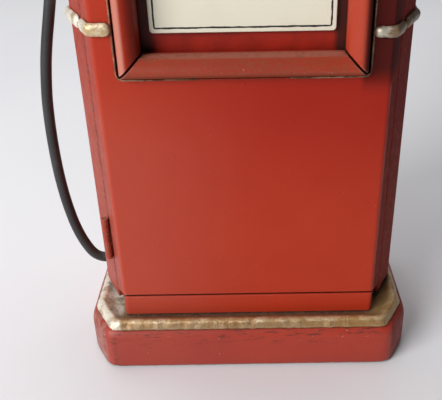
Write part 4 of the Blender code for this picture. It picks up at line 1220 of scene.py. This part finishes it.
def round_off(nodes, width):
    """Rounds the sharp edges of plain CAD nodes."""
    for node in nodes:
        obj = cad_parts[node]
        obj.data.shade_smooth()
        soften(obj, width, 2, 40).modifiers["rounding"].use_clamp_overlap = True


def main():
    """Makes every piece, then dresses the CAD nodes that stay as they are."""
    make_camera()
    make_ferrule(metal("aged_brass", (0.50, 0.36, 0.15), (0.20, 0.12, 0.05)))
    make_hose(rubber("hose_rubber"))
    make_studio(paper_floor("pale_floor"))
    red = red_paint("red_paint")
    worn_red = red_paint("worn_red_paint", 0.3, (0.34, 0.037, 0.013), (0.20, 0.026, 0.012),
                         (0.42, 0.24, 0.18), (0.20, 0.058, 0.022), bare_share=0.6, wear=0.8, dirt=0.9,
                         chips=0.4, sheen=0.0, shade_upper_right=0.0, member=heights("frame_bottom"))
    # the plinth: painted shade on its right corner faces and painted sheen on its left
    chipped = red_paint("chipped_red_paint", 0.4, (0.38, 0.036, 0.016), (0.29, 0.022, 0.012),
                        (0.40, 0.25, 0.20), wear=0.7, chips=0.8, corner_x=0.0795, rubbed=0.55,
                        corner_antiquing_and_shade=0.40, sheen=0.05, streaks=0.75)
    gold = gold_paint("gold_paint")
    inside = board("stained_board")
    steel = metal("dull_steel", (0.50, 0.50, 0.50), (0.24, 0.21, 0.18))
    cream = cream_enamel("cream_enamel")
    ink = black_gloss("black_line", 0.55)
    panel = black_gloss("black_panel", 0.25)
    make_plinth(chipped, gold)
    make_body(red, inside, rubbed_line("rubbed_edge"))
    # the frame's left member: rubbed wear, with a painted highlight and painted shade on its slopes
    rubbed_and_highlit_red = red_paint("left_member_rubbed_highlit_paint", wear_and_sheen=(0.56, 0.27, 0.20), wear=1.0, sheen=0.0, left_member_highlight=0.60)
    plain_red = red_paint("frame_red_paint", bright=(0.39, 0.050, 0.022), wear_and_sheen=(0.56, 0.30, 0.22), wear=0.8,
                          sheen=0.0, shade_upper_right=0.1)
    make_frame({"bottom": worn_red, "top": plain_red, "left": rubbed_and_highlit_red, "right": plain_red})
    make_display(cream, ink, panel)
    # the bead's gold is paler than the ledge's, partly as a painted highlight
    make_belt(gold_paint("pale_highlit_gold_paint", 0.9, (0.90, 0.80, 0.58), (0.52, 0.36, 0.17), (0.78, 0.68, 0.47)))
    make_top(red, gold, opal("opal_glass"))
    make_nozzle(steel)
    dress(("window_box",), recess_paint("recess_red_paint"))
    round_off(("window_box",), 0.0006)
    dress(("bottom_deck", "shelf", "top_deck", "shelf_cleat_left", "shelf_cleat_right"), inside)
    dress(("felt_base",), felt("green_felt"))
    dress(("catch_case",), black_gloss("catch_plastic", 0.4))
    dress(("catch_magnet", "strike_plate", "trigger_lever", "lever_pin", "nozzle_fork", "globe_bolt",
           "hinge_pin_1", "hinge_pin_2", *("body_screw_" + n for n in "12"),
           *("cap_screw_" + n for n in "12"), *("fork_screw_" + n for n in "12"),
           *("back_screw_" + n for n in "1234")), steel)
    dress(("hinge_leaf_wall_1", "hinge_leaf_wall_2", "hinge_leaf_door_1", "hinge_leaf_door_2"),
          red_paint("painted_hinge", wear_and_sheen=(0.44, 0.17, 0.11), wear=0.5, dirt=0.2))
    round_off(("shelf", "shelf_cleat_left", "shelf_cleat_right", "catch_case", "strike_plate",
               "nozzle_fork", "trigger_lever"), 0.0003)
    bpy.context.scene.view_settings.view_transform = "Standard"


main()
